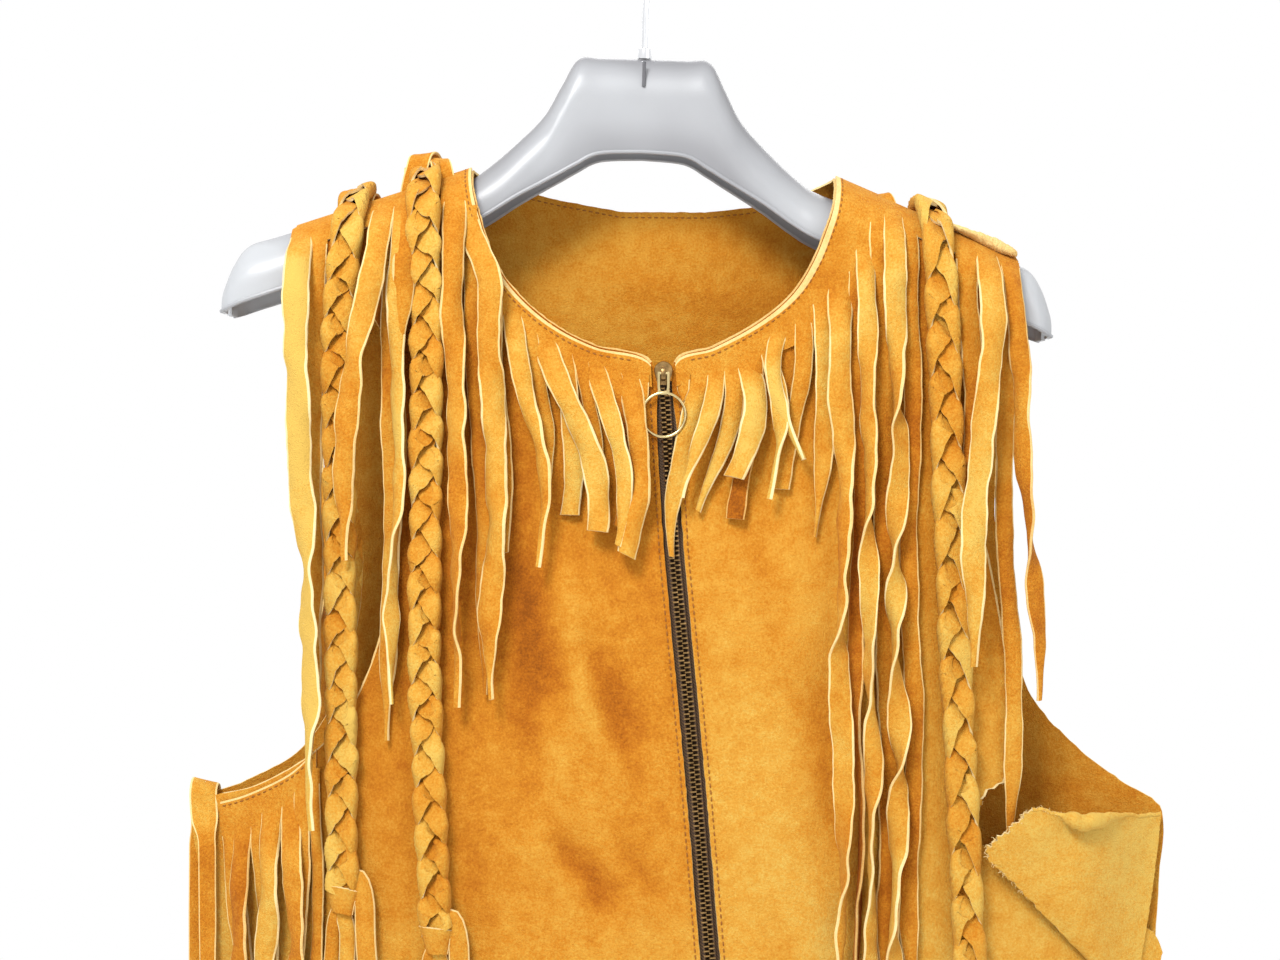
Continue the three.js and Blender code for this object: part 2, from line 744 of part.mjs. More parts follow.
function flap() {
  const rightLift = 2.2;
  const pointAt = (u, v) => {
    const row = betweenRows(flapRows, v);
    const nearLeft = u < 0.5;
    const t = nearLeft ? 2 * u : 2 * u - 1;
    const x = nearLeft ? lerp(row.leftX, row.midX, t) : lerp(row.midX, row.rightX, t);
    const z = nearLeft ? lerp(row.leftZ, row.midZ, t) : lerp(row.midZ, row.rightZ, t);
    const lift = nearLeft
      ? lerp(row.leftLift, row.midLift, t)
      : lerp(row.midLift, rightLift, smoothstep(t, 0, 1));
    return onCloth(FRONT, x, z, lift).point;
  };
  return wall(pointAt, shares(6), shares(flapRows.length - 1), cloth);
}

// A strap laid over the left underarm seam, with an end in front and one behind.
const tie = { x: -231, top: -465.2, reach: 6.5, width: 9.5, lift: 7.5, frontDrift: 3, backDrift: -6 };

function underarmTie() {
  const heights = [-600, -570, -540, -510, -488, -476, -470];
  const leg = (side, z) => {
    const spread = smoothstep(-z, 470, 500);
    const x = tie.x + (side === FRONT ? tie.frontDrift : tie.backDrift) * spread;
    const onSide = onCloth(side, Math.max(x, tie.x), z, tie.lift).point;
    return vec(x, lerp(side * tie.reach, onSide.y, spread), z);
  };
  const points = [
    ...heights.map((z) => leg(FRONT, z)),
    vec(tie.x, 0, tie.top),
    ...heights.reverse().map((z) => leg(BACK, z)),
  ];
  const last = points.length - 1;
  const stations = points.map((point, i) => ({
    point,
    twist: 0,
    width: i === 0 || i === last ? 4 : tie.width,
  }));
  return strap(stations, strand.thickness);
}

// The rolled raw edge along the right shoulder, on top of the fringe's strip
const roll = { from: 157, to: 186, radius: 2.6, endSize: 0.6, wide: 1.5, drop: 5, endDrop: 4.6, lift: 3.45 };

function shoulderRoll() {
  const rings = shares(5).map((share) => {
    const atEnd = share === 0 || share === 1;
    const x = lerp(roll.from, roll.to, share);
    const size = roll.radius * (atEnd ? roll.endSize : 1);
    const z = shoulderLine(x) - (atEnd ? roll.endDrop : roll.drop);
    const centre = onCloth(FRONT, x, z, strip.lift + roll.lift).point;
    return Array.from({ length: 6 }, (_, i) => {
      const angle = (i * Math.PI) / 3;
      return centre.clone().add(vec(0, size * roll.wide * Math.cos(angle), size * Math.sin(angle)));
    });
  });
  return sweep(rings);
}

// Hanger: lofted from sections across its length, in its own level frame
const hangerSections = table(
  ["x", "top", "bottom", "halfDepth"],
  [0, -90, -140, 13],
  [22, -90, -141.5, 13.5],
  [34, -90.6, -147.5, 14],
  [42.4, -105, -152.5, 14.5],
  [51, -121, -157.5, 15],
  [64.5, -135.5, -165.5, 16.5],
  [80, -149.5, -176, 18],
  [93, -157.5, -183, 20],
  [130, -169.5, -198, 22.5],
  [160, -179, -209, 24.5],
  [187, -188, -219, 26.5],
  [201, -193, -224, 26],
  [208, -202, -227, 23.5],
  [212.5, -214, -229, 18],
);

function hangerBody() {
  const mirrored = hangerSections.slice(1).reverse().map((row) => ({ ...row, x: -row.x }));
  const rings = [...mirrored, ...hangerSections].map((row) => {
    const rounding = Math.min(roundTop.most, roundTop.share * (row.top - row.bottom));
    const over = shares(6).map((share) => {
      const angle = lerp(-Math.PI / 2, Math.PI / 2, share);
      const y = row.halfDepth * Math.sin(angle);
      return vec(row.x, y, row.top - rounding * (1 - Math.cos(angle)));
    });
    return [...over, vec(row.x, row.halfDepth, row.bottom), vec(row.x, -row.halfDepth, row.bottom)];
  });
  return sweep(rings);
}

const hook = { wire: 1.8, bend: 19, foot: -89.6, corners: 8 };
const roundTop = { most: 22, share: 0.8 }; // how far below its top the hanger's body is rounded

function hangerHook() {
  const radius = hook.bend + hook.wire;
  const bend = [200, 170, 140, 110, 80, 50, 20, -8].map((degrees) => {
    const angle = degToRad(degrees);
    return vec(radius * Math.cos(angle), 0, radius * Math.sin(angle) - hook.bend);
  });
  const neck = [vec(15.5, 0, -34), vec(6.5, 0, -44), vec(1.2, 0, -54), vec(0, 0, -64)];
  const points = [...bend, ...neck, vec(0, 0, hook.foot)];
  const rings = points.map((point, i) => {
    const before = points[Math.max(i - 1, 0)];
    const after = points[Math.min(i + 1, points.length - 1)];
    const line = after.clone().sub(before).normalize();
    const sideways = line.clone().cross(vec(0, 1, 0));
    return Array.from({ length: hook.corners }, (_, k) => {
      const angle = (2 * Math.PI * k) / hook.corners;
      return point
        .clone()
        .addScaledVector(sideways, hook.wire * Math.cos(angle))
        .add(vec(0, hook.wire * Math.sin(angle), 0));
    });
  });
  return sweep(rings);
}

// Zip: tape behind the fronts, the closed chain between them, a slider at the top and a ring pull
const zip = {
  tape: { halfWidth: 13, thickness: 0.8, lift: -2.1 },
  chain: { halfWidth: 3, thickness: 2.4, lift: 0.3 },
  top: -258,
  bottom: -729,
  slider: {
    z: -254.5,
    halfWidth: 4.75,
    footShare: 0.62,
    height: 11.5,
    roundFrom: 1.38,
    back: 1.9,
    thickness: 1.7,
  },
  crown: { width: 2.2, legDepth: 3.4, legHeight: 1.3, topLeg: 2.6, bottomLeg: -2.9, bar: 1.0, barY: -1.6 },
  pivotStand: 1.35, // from the slider's face to the pull's axis
};

function zipStrip(part, cells) {
  const span = (u, v) => {
    const z = lerp(zip.top, zip.bottom, v);
    const x = zipX(z) + lerp(-part.halfWidth, part.halfWidth, u);
    return onCloth(FRONT, x, z, part.lift).point;
  };
  return wall(span, shares(cells), shares(16), part.thickness);
}

const sliderFace = onCloth(
  FRONT,
  zipX(zip.slider.z),
  zip.slider.z,
  zip.slider.back + zip.slider.thickness,
).point;
const pivot = sliderFace.clone().add(vec(0, -zip.pivotStand, 0));

function block(width, depth, height, x, y, z) {
  const geometry = new THREE.BoxGeometry(width, depth, height).translate(x, y, z);
  geometry.deleteAttribute("normal");
  geometry.deleteAttribute("uv");
  return weld(geometry);
}

// Merges the corners of a geometry that repeats them on each face.
function weld(geometry) {
  const from = geometry.getAttribute("position");
  const index = geometry.index ? [...geometry.index.array] : [...Array(from.count).keys()];
  const seen = new Map();
  const points = [];
  const merged = index.map((i) => {
    const point = vec(from.getX(i), from.getY(i), from.getZ(i));
    const key = point.toArray().map((value) => value.toFixed(4)).join();
    if (!seen.has(key)) seen.set(key, points.push(point) - 1);
    return seen.get(key);
  });
  const faces = [];
  for (let i = 0; i < merged.length; i += 3) {
    const [a, b, c] = merged.slice(i, i + 3);
    if (a !== b && b !== c && a !== c) faces.push([a, b, c]);
  }
  return geometryOf(points, faces);
}

// The slider's plate, and the crown that holds the pull. Its frame is the pull's axis.
function zipSlider() {
  const { halfWidth, footShare, height, roundFrom, thickness } = zip.slider;
  const outline = new THREE.Shape();
  outline.moveTo(-footShare * halfWidth, -height / 2);
  outline.lineTo(footShare * halfWidth, -height / 2);
  outline.lineTo(halfWidth, roundFrom);
  outline.absarc(0, roundFrom, halfWidth, 0, Math.PI, false);
  const plate = new THREE.ExtrudeGeometry(outline, {
    depth: thickness,
    bevelEnabled: false,
    curveSegments: 8,
  });
  plate.rotateX(Math.PI / 2);
  plate.translate(0, zip.pivotStand + thickness, 0);
  plate.deleteAttribute("normal");
  plate.deleteAttribute("uv");
  const { width, legDepth, legHeight, topLeg, bottomLeg, bar, barY } = zip.crown;
  const legY = barY + (legDepth - bar) / 2 + 0.6;
  const legs = [topLeg, bottomLeg].map((z) => block(width, legDepth, legHeight, 0, legY, z));
  const middle = (topLeg + bottomLeg) / 2;
  const bridge = block(width, bar, topLeg - bottomLeg + legHeight, 0, barY, middle);
  return fuse(weld(plate), ...legs, bridge);
}

const pull = {
  arm: 1.3,
  armX: 2.4,
  armTop: 0.85,
  armLength: 11.4,
  ringRadius: 11.1,
  wire: 0.8,
  ringDrop: 21,
  bar: 0.75,
  foot: { width: 6.2, height: 2, z: -9.6 },
};

function zipPull() {
  const circle = (centre, a, b, radius, count) =>
    Array.from({ length: count }, (_, k) => {
      const angle = (2 * Math.PI * k) / count;
      return centre
        .clone()
        .addScaledVector(a, radius * Math.cos(angle))
        .addScaledVector(b, radius * Math.sin(angle));
    });
  const ring = Array.from({ length: 24 }, (_, i) => {
    const angle = (2 * Math.PI * i) / 24;
    const outwards = vec(Math.sin(angle), 0, Math.cos(angle));
    const centre = outwards.clone().multiplyScalar(pull.ringRadius).add(vec(0, 0, -pull.ringDrop));
    return circle(centre, outwards, vec(0, 1, 0), pull.wire, 6);
  });
  const bar = [-1, 1].map((end) =>
    circle(vec(end * (pull.armX + 0.4), 0, 0), vec(0, 1, 0), vec(0, 0, 1), pull.bar, 8),
  );
  const arms = [-1, 1].map((end) =>
    block(pull.arm, pull.arm, pull.armLength, end * pull.armX, 0, pull.armTop - pull.armLength / 2),
  );
  const foot = block(pull.foot.width, pull.arm, pull.foot.height, 0, 0, pull.foot.z);
  return fuse(sweep(ring, true), sweep(bar), ...arms, foot);
}

// Materials, one for each finish
const finish = (color, roughness, metalness = 0) =>
  new THREE.MeshStandardMaterial({ color, roughness, metalness });
const suede = finish(0xd9912f, 0.95);
const paleSuede = finish(0xe3ad52, 0.95);
const tape = finish(0x4a3520, 0.9);
const brass = finish(0x6b5a35, 0.4, 1);
const paleBrass = finish(0xd8cfa8, 0.3, 1);
const plastic = finish(0xc9cad0, 0.35);
const wire = finish(0xe4e6ea, 0.2, 1);

const vest = new THREE.Group();
const hanger = new THREE.Group();
hanger.rotation.y = hangerTilt;
vest.add(hanger);

function piece(name, geometry, material, holder = vest) {
  const mesh = new THREE.Mesh(geometry, material);
  mesh.name = name;
  holder.add(mesh);
  return mesh;
}

piece("hanger_body", hangerBody(), plastic, hanger);
piece("hanger_hook", hangerHook(), wire, hanger);
piece("back_panel", back(), suede);
piece("front_panel_left_view", front(frontLeftOfView), suede);
piece("front_panel_right_view", front(frontRightOfView), suede);
piece("underarm_flap", flap(), suede);
piece("underarm_tie", underarmTie(), paleSuede);
piece("shoulder_roll", shoulderRoll(), paleSuede);

const neckSpans = shares(9);
for (const [name, panel, strands] of [
  ["neck_fringe_left_view", frontLeftOfView, neckStrandsLeft],
  ["neck_fringe_right_view", frontRightOfView, neckStrandsRight],
]) {
  const { inset, width } = neckStrip;
  const backing = stripSolid(FRONT, neckEdge(panel, inset), neckEdge(panel, width), neckSpans, [0, 1]);
  piece(name, fringe(FRONT, backing, strands), paleSuede);
}

for (const [name, side, fromX, toX, strands] of [
  ["shoulder_fringe_front_left_view", FRONT, -181, -118, shoulderStrands.frontLeft],
  ["shoulder_fringe_front_right_view", FRONT, 121, 187, shoulderStrands.frontRight],
  ["shoulder_fringe_back_left_view", BACK, -181, -114, shoulderStrands.backLeft],
  ["shoulder_fringe_back_right_view", BACK, 118, 187, shoulderStrands.backRight],
]) {
  piece(name, shoulderFringe(side, fromX, toX, strands), paleSuede);
}

for (const [name, spec] of [
  ["underarm_fringe_front_left_view", underarms.frontLeft],
  ["underarm_fringe_back_left_view", underarms.backLeft],
  ["underarm_fringe_back_right_view", underarms.backRight],
]) {
  piece(name, underarmFringe(spec), paleSuede);
}

piece("plait_left_outer", plaitNode(plaits.left_outer), paleSuede);
piece("plait_left_inner", plaitNode(plaits.left_inner, loopSolid()), paleSuede);
piece("plait_right", plaitNode(plaits.right), paleSuede);

piece("zip_tape", zipStrip(zip.tape, 4), tape);
piece("zip_chain", zipStrip(zip.chain, 1), brass);
piece("zip_slider", zipSlider(), brass).position.copy(pivot);
piece("zip_pull", zipPull(), paleBrass).position.copy(pivot);

export default vest;
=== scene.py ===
# Looks for the suede fringe vest on its hanger. Tables are in millimetres, as the vest is measured, and
# meshes are made in metres. +X is to the viewer's right, -Y towards the viewer, and the origin is in the
# hanger's hook.
import math

import bmesh
import bpy
import numpy as np
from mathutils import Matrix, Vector


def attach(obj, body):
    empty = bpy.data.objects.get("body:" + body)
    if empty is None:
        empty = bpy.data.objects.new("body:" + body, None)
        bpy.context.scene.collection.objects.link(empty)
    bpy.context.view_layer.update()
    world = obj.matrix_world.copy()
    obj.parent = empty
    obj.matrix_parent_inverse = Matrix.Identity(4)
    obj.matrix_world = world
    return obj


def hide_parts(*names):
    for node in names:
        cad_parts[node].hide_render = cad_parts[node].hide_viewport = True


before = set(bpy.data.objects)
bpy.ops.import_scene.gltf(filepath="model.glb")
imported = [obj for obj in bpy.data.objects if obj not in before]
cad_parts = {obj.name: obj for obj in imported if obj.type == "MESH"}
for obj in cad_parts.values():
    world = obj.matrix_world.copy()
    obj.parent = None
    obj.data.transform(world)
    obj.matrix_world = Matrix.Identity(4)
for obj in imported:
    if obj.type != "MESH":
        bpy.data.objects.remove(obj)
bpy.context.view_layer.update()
mm = 0.001
front, back = -1, 1
random = np.random.default_rng(23)


# Small helpers
def smoothstep(x, low, high):
    t = np.clip((np.asarray(x, float) - low) / (high - low), 0, 1)
    return t * t * (3 - 2 * t)


def lerp(a, b, t):
    return a + (b - a) * t


def unit(v):
    return v / np.maximum(np.linalg.norm(v, axis=-1, keepdims=True), 1e-9)


def table(columns, rows):
    return [dict(zip(columns.split(), row)) for row in rows]


def columnOf(rows, name):
    return np.array([row[name] for row in rows], float)


def alongTable(rows, key, at, wanted):
    keys, values = columnOf(rows, key), columnOf(rows, wanted)
    order = np.argsort(keys)
    return np.interp(at, keys[order], values[order])


def smoothRows(values, at):  # a smooth curve through evenly spaced rows
    values = np.asarray(values, float)
    last = len(values) - 1
    at = np.clip(np.asarray(at, float), 0, last)
    i = np.minimum(at.astype(int), last - 1)
    t = (at - i)[..., None] if values.ndim > 1 else at - i
    p0, p1 = values[np.maximum(i - 1, 0)], values[i]
    p2, p3 = values[i + 1], values[np.minimum(i + 2, last)]
    bend = (p2 - p0) * t + (2 * p0 - 5 * p1 + 4 * p2 - p3) * t**2 + (3 * p1 - p0 - 3 * p2 + p3) * t**3
    return p1 + 0.5 * bend


def wander(x, seed, waves=(0.9, 2.1, 4.7), sizes=(1.0, 0.5, 0.25)):  # a smooth uneven line, about -1 to 1
    phases = np.random.default_rng(seed).uniform(0, 6.283, len(waves))
    return sum(a * np.sin(w * np.asarray(x, float) + p) for w, a, p in zip(waves, sizes, phases)) / sum(sizes)


# Where the cloth lies
cloth = {"thickness": 1.6, "seam": 0.3, "shoulderRound": 26.0, "sideSharpness": 6}
onHanger = {"depthIn": 27, "depthOut": 31, "from": 90, "to": 185, "hangsFrom": 240, "hangsFree": 390}
ripple = {"height": 0.35, "acrossLength": 17, "downLength": 23, "bendLength": 31, "bend": 1.3}
strip = {"thickness": 1.2, "lift": 2.0}
strand = {"thickness": 1.5, "layerLift": (4.6, 11.8, 18.8)}
shoulderDrops = [0, 2.2, 8, 16, 26]
sides = table("z left right depth", [
    (-250, -236, 266.3, 31), (-350, -236, 266.3, 35), (-478, -236, 266.3, 34), (-515, -233, 265, 33),
    (-560, -228, 262, 32), (-610, -222, 258, 30), (-668, -214, 255, 28), (-733, -206, 252, 26)])
zipLine = table("z x", [(-250, 6.5), (-346, 12), (-419, 19), (-470, 23.7), (-551, 30.3), (-733, 42)])
zipGap = 5.0
creases = table("side x z lean length width gain", [
    (front, -56, -388, 14, 80, 13, -3.0), (front, -38, -392, 16, 70, 12, 2.4),
    (front, -18, -416, 24, 62, 9, -2.6), (front, -32, -504, 42, 46, 8, -2.4),
    (front, 92, -470, 8, 120, 14, -2.6), (front, 150, -600, -14, 90, 15, 2.6),
    (front, -150, -600, 12, 90, 16, 2.6), (back, -60, -420, 10, 110, 16, -2.6),
    (back, 70, -460, -12, 120, 17, -2.8), (back, 10, -560, 5, 110, 18, 2.8)])
softCreases = table("side x z lean length width gain", [  # the finer ones, for the thin shells only
    (front, -70, -330, 6, 90, 9, -1.2), (front, -16, -440, 24, 56, 6, -1.9),
    (front, -24, -436, 26, 60, 6, 1.2), (front, -35, -512, 38, 48, 7, -2.1),
    (front, -47, -506, 40, 50, 7, 1.6), (front, -4, -506, 34, 36, 5, -1.7),
    (front, -62, -428, 4, 74, 7, -1.5), (front, -50, -432, 8, 74, 7, 1.1),
    (front, -88, -520, 10, 70, 9, -1.3), (front, -30, -400, 14, 46, 5, -1.1),
    (front, 60, -350, 6, 80, 10, -0.9), (front, 46, -330, 20, 60, 8, -0.8),
    (front, 118, -420, -8, 70, 8, -1.0), (front, 70, -560, 14, 60, 9, -1.2),
    (front, 92, -520, -10, 70, 9, 1.0), (back, -20, -300, 4, 90, 12, -0.9),
    (back, 110, -330, 14, 70, 10, 0.9), (back, -110, -520, -12, 80, 10, -1.2),
    (back, 60, -640, 8, 80, 9, -1.1), (back, -30, -480, 22, 70, 8, -1.3), (back, 20, -210, 80, 90, 8, -0.8)])
hemWave = {"start": -470, "end": -733, "height": 4.5, "length": 118, "offset": 20}
leftShoulder, rightShoulder = ((-91, -148.3), (-182, -178)), ((95, -152.5), (188.5, -193.2))


def shoulderLine(x):
    def line(ends):
        (nx, nz), (tx, tz) = ends
        return nz + (x - nx) * (tz - nz) / (tx - nx)
    x = np.asarray(x, float)
    return np.where(x < 0, line(leftShoulder), line(rightShoulder))


def zipX(z):
    return alongTable(zipLine, "z", z, "x")


def sideShare(x, z):
    left, right = alongTable(sides, "z", z, "left"), alongTable(sides, "z", z, "right")
    return (x - (left + right) / 2) / ((right - left) / 2)


def creaseHeight(rows, side, x, z):
    height = np.zeros(np.broadcast(x, z).shape)
    for c in rows:
        if c["side"] != side:
            continue
        lean = math.radians(c["lean"])
        down = (c["z"] - z) * math.cos(lean) + (x - c["x"]) * math.sin(lean)
        across = (x - c["x"]) * math.cos(lean) - (c["z"] - z) * math.sin(lean)
        height = height + c["gain"] * np.exp(-((across / c["width"]) ** 2) - (2 * down / c["length"]) ** 4)
    return height


def relief(side, x, z, fine=False):
    inside = 1 - np.abs(np.clip(sideShare(x, z), -1, 1)) ** cloth["sideSharpness"]
    height = creaseHeight(creases, side, x, z)
    if fine:
        offZip = smoothstep(np.abs(x - zipX(z)), 4, 16) if side == front else 1.0
        height = height + creaseHeight(softCreases, side, x, z) * offZip
        along = np.sin(x / ripple["acrossLength"] + ripple["bend"] * np.sin(z / ripple["bendLength"]))
        height = height + ripple["height"] * along * np.sin(z / ripple["downLength"] + side)
    wave = np.sin(2 * math.pi * (x - zipX(z) + side * hemWave["offset"]) / hemWave["length"])
    reach = smoothstep(hemWave["start"] - z, 0, hemWave["start"] - hemWave["end"])
    return (height + wave * hemWave["height"] * reach) * inside


def halfDepth(side, x, z, fine=False):
    reach = smoothstep(np.abs(x), onHanger["from"], onHanger["to"])
    overHanger = lerp(onHanger["depthIn"], onHanger["depthOut"], reach)
    t = np.abs(np.clip(sideShare(x, z), -1, 1))
    hung = alongTable(sides, "z", z, "depth") * (1 - t**3)
    free = smoothstep(-np.asarray(z, float), onHanger["hangsFrom"], onHanger["hangsFree"])
    return lerp(overHanger, hung, free) + relief(side, x, z, fine)


def onCloth(side, x, z, lift=0.0, fine=False):  # (points, directions out of the cloth)
    x, z, lift = np.broadcast_arrays(np.asarray(x, float), np.asarray(z, float), np.asarray(lift, float))
    drop = np.clip(shoulderLine(x) - z, 0, cloth["shoulderRound"])
    turn = np.arccos(1 - drop / cloth["shoulderRound"])
    depth = cloth["thickness"] / 2 + halfDepth(side, x, z, fine)
    out = unit(np.stack([0 * x, side * np.sin(turn) / depth, np.cos(turn) / cloth["shoulderRound"]], -1))
    points = np.stack([x, side * (cloth["seam"] / 2 + depth * np.sin(turn)), z], -1)
    return points + out * lift[..., None], out


# Meshes from parts
def newBatch():
    return {"points": [], "faces": [], "looks": [], "tones": [], "count": 0}


# points (n, 3) in mm, faces (m, 4 or 3) of indices, look: the material's index, tone: 0 deep to 1 pale
def addPart(batch, points, faces, look=0, tone=0.5):
    points = np.asarray(points, float).reshape(-1, 3)
    batch["points"].append(points)
    batch["faces"] += (np.asarray(faces) + batch["count"]).tolist()
    batch["looks"].append(np.broadcast_to(np.asarray(look), len(faces)))
    batch["tones"].append(np.broadcast_to(np.asarray(tone, float), len(points)))
    batch["count"] += len(points)


def buildMesh(name, batch, materials, sharpAngle=48, body="vest", replaces=()):
    mesh = bpy.data.meshes.new(name)
    mesh.from_pydata((np.concatenate(batch["points"]) * mm).tolist(), [], batch["faces"])
    for material in materials:
        mesh.materials.append(material)
    mesh.polygons.foreach_set("material_index", np.concatenate(batch["looks"]).astype(np.int32))
    tone = mesh.attributes.new("tone", "FLOAT", "POINT")
    tone.data.foreach_set("value", np.concatenate(batch["tones"]).astype(np.float32))
    shape = bmesh.new()
    shape.from_mesh(mesh)
    bmesh.ops.recalc_face_normals(shape, faces=shape.faces)  # every closed part faces outwards
    shape.to_mesh(mesh)
    shape.free()
    mesh.shade_smooth()
    mesh.set_sharp_from_angle(angle=math.radians(sharpAngle))
    mesh.validate()
    mesh.update()
    piece = bpy.data.objects.new(name, mesh)
    bpy.context.scene.collection.objects.link(piece)
    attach(piece, body)
    if replaces:
        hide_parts(*replaces)
    return piece


def gridFaces(rows, columns, wrapColumns=False, wrapRows=False):
    i = np.arange(rows if wrapRows else rows - 1)[:, None]
    j = np.arange(columns if wrapColumns else columns - 1)[None, :]
    a = i * columns + j
    b = i * columns + (j + 1) % columns
    c = (i + 1) % rows * columns + (j + 1) % columns
    d = (i + 1) % rows * columns + j
    return np.stack([a, b, c, d], -1).reshape(-1, 4)


# A skin over rings of points (n, k, 3), with a look for each end face, or open ends where endLooks is empty
def addRings(batch, rings, look=0, tone=0.5, endLooks=(), closed=False):
    n, k, _ = rings.shape
    start = batch["count"]
    addPart(batch, rings, gridFaces(n, k, wrapColumns=True, wrapRows=closed), look, tone)
    ends = [range(start, start + k)[::-1], range(start + (n - 1) * k, start + n * k)]
    for end, endLook in zip(ends, endLooks):
        batch["faces"].append(list(end))
        batch["looks"].append(np.array([endLook]))


def tube(path, radius, sidesCount=10, closed=False):
    path = np.asarray(path, float)
    if closed:
        tangent = unit(np.roll(path, -1, 0) - np.roll(path, 1, 0))
    else:
        tangent = unit(np.gradient(path, axis=0))
    reference = np.array([0, 1.0, 0]) if abs(tangent[:, 1]).max() < 0.9 else np.array([1.0, 0.2, 0.1])
    a = unit(np.cross(tangent, reference))
    b = np.cross(tangent, a)
    angle = np.linspace(0, 2 * math.pi, sidesCount, endpoint=False)
    radius = np.broadcast_to(np.asarray(radius, float), len(path))[:, None, None]
    around = a[:, None] * np.cos(angle)[:, None] + b[:, None] * np.sin(angle)[:, None]
    return path[:, None] + radius * around


def addTube(batch, path, radius, sidesCount=10, closed=False, look=0, tone=0.5):
    endLooks = () if closed else (look, look)
    addRings(batch, tube(path, radius, sidesCount, closed), look, tone, endLooks, closed)


# A thin closed wall about a grid of points (rows, columns, 3). The rim takes the second look, and so do the
# first and last edgeCells columns of cells, where the cut edge rounds over, as far as the rows plainFrom.
def shellPart(batch, grid, thickness, tone=0.5, looks=(0, 1), rough=0.0, seed=0, edgeCells=(0, 0),
              plainFrom=None):
    rows, columns, _ = grid.shape
    normal = unit(np.cross(np.gradient(grid, axis=1), np.gradient(grid, axis=0)))
    if rough:
        shake = np.random.default_rng(seed).normal(0, rough, grid.shape[:2])
        inner = np.ones(grid.shape[:2])
        inner[1:-1, 1:-1] = 0.25
        grid = grid + (shake * inner)[..., None] * np.array([1, 0, 1.0])
    faceA, faceB = grid + normal * thickness / 2, grid - normal * thickness / 2
    points = np.concatenate([faceA.reshape(-1, 3), faceB.reshape(-1, 3)])
    n = rows * columns
    faces = gridFaces(rows, columns)
    index = np.arange(n).reshape(rows, columns)
    loop = np.concatenate([index[0, :-1], index[:-1, -1], index[-1, :0:-1], index[:0:-1, 0]])
    after = np.roll(loop, -1)
    rim = np.stack([after, loop, loop + n, after + n], -1)
    allFaces = np.concatenate([faces, faces[:, ::-1] + n, rim])
    faceLook = np.full((rows - 1, columns - 1), looks[0])
    faceLook[:, :edgeCells[0]] = looks[1]
    faceLook[:, columns - 1 - edgeCells[1]:] = looks[1]
    if plainFrom is not None:
        faceLook[plainFrom[0]:, :edgeCells[0]] = looks[0]
        faceLook[plainFrom[1]:, columns - 1 - edgeCells[1]:] = looks[0]
    look = np.concatenate([faceLook.reshape(-1), faceLook.reshape(-1), np.full(len(rim), looks[1])])
    tone = np.broadcast_to(tone, grid.shape[:2]).reshape(-1)
    addPart(batch, points, allFaces, look, np.concatenate([tone, tone]))


ribbonSection = [  # across and through, as shares of half the width and thickness, and share of the bulge
    (-1, 0.4, 0), (-0.87, 1, 0), (-0.5, 1, 0.7), (0, 1, 1), (0.5, 1, 0.7), (0.87, 1, 0), (1, 0.4, 0),
    (1, -0.4, 0), (0.87, -1, 0), (0.45, -1, -0.5), (-0.45, -1, -0.5), (-0.87, -1, 0), (-1, -0.4, 0)]
ribbonLooks = [1, 0, 0, 0, 0, 1, 1, 1, 0, 0, 0, 1, 1]


# A strap along points, flat across level (n, 3), with cut edges in the second look. cup bends its edges back
# by that many mm, and the first plainRows rows show no cut edge.
def ribbonPart(batch, points, level, width, thickness, twist=0.0, tone=0.5, bulge=0.25, slant=0.0,
               looks=(0, 1), cup=0.0, plainRows=0):
    tangent = unit(np.gradient(points, axis=0))
    across = unit(level - tangent * (level * tangent).sum(-1, keepdims=True))
    normal = np.cross(tangent, across)

    def spread(value):
        return np.broadcast_to(np.asarray(value, float), len(points))[:, None]

    twist = spread(twist)
    a = across * np.cos(twist) + normal * np.sin(twist)
    b = normal * np.cos(twist) - across * np.sin(twist)
    half, thick, bulge, cup = spread(width) / 2, spread(thickness) / 2, spread(bulge), spread(cup)
    slide = np.zeros((len(points), 1))
    slide[-1], slide[-2] = slant, slant * 0.6
    rings = []
    for s, through, swell in ribbonSection:
        high = thick * through + bulge * swell + cup * (0.4 - s * s)
        rings.append(points + a * half * s + b * high + tangent * slide * s)
    look = np.tile([looks[k] for k in ribbonLooks], (len(points) - 1, 1))
    look[:plainRows] = looks[0]
    tones = np.repeat(np.broadcast_to(np.asarray(tone, float), len(points)), len(ribbonSection))
    endLooks = (looks[0] if plainRows else looks[1], looks[1])
    addRings(batch, np.stack(rings, 1), look.reshape(-1), tones, endLooks)


def levelRibbon(batch, points, *size, level=(1.0, 0, 0), **more):  # a strap that keeps level all along
    ribbonPart(batch, points, np.tile(level, (len(points), 1)), *size, **more)


# Materials
def newMaterial(name):
    material = bpy.data.materials.new(name)
    material.use_nodes = True
    nodes, links = material.node_tree.nodes, material.node_tree.links
    place = nodes.new("ShaderNodeTexCoord").outputs["Object"]
    return material, nodes, links, nodes["Principled BSDF"], place


def setInputs(node, values):
    for name, value in values.items():
        node.inputs[name].default_value = value


def toneNode(nodes):
    tone = nodes.new("ShaderNodeAttribute")
    tone.attribute_name = "tone"
    return tone.outputs["Fac"]


def noiseNode(nodes, links, place, scale, detail=3.0, rough=0.55, distortion=0.0):
    noise = nodes.new("ShaderNodeTexNoise")
    setInputs(noise, {"Scale": scale, "Detail": detail, "Roughness": rough, "Distortion": distortion})
    links.new(place, noise.inputs["Vector"])
    return noise.outputs["Fac"]


def mathNode(nodes, links, kind, a, b):
    node = nodes.new("ShaderNodeMath")
    node.operation = kind
    for socket, value in zip(node.inputs, (a, b)):
        if isinstance(value, (int, float)):
            socket.default_value = value
        else:
            links.new(value, socket)
    return node.outputs[0]


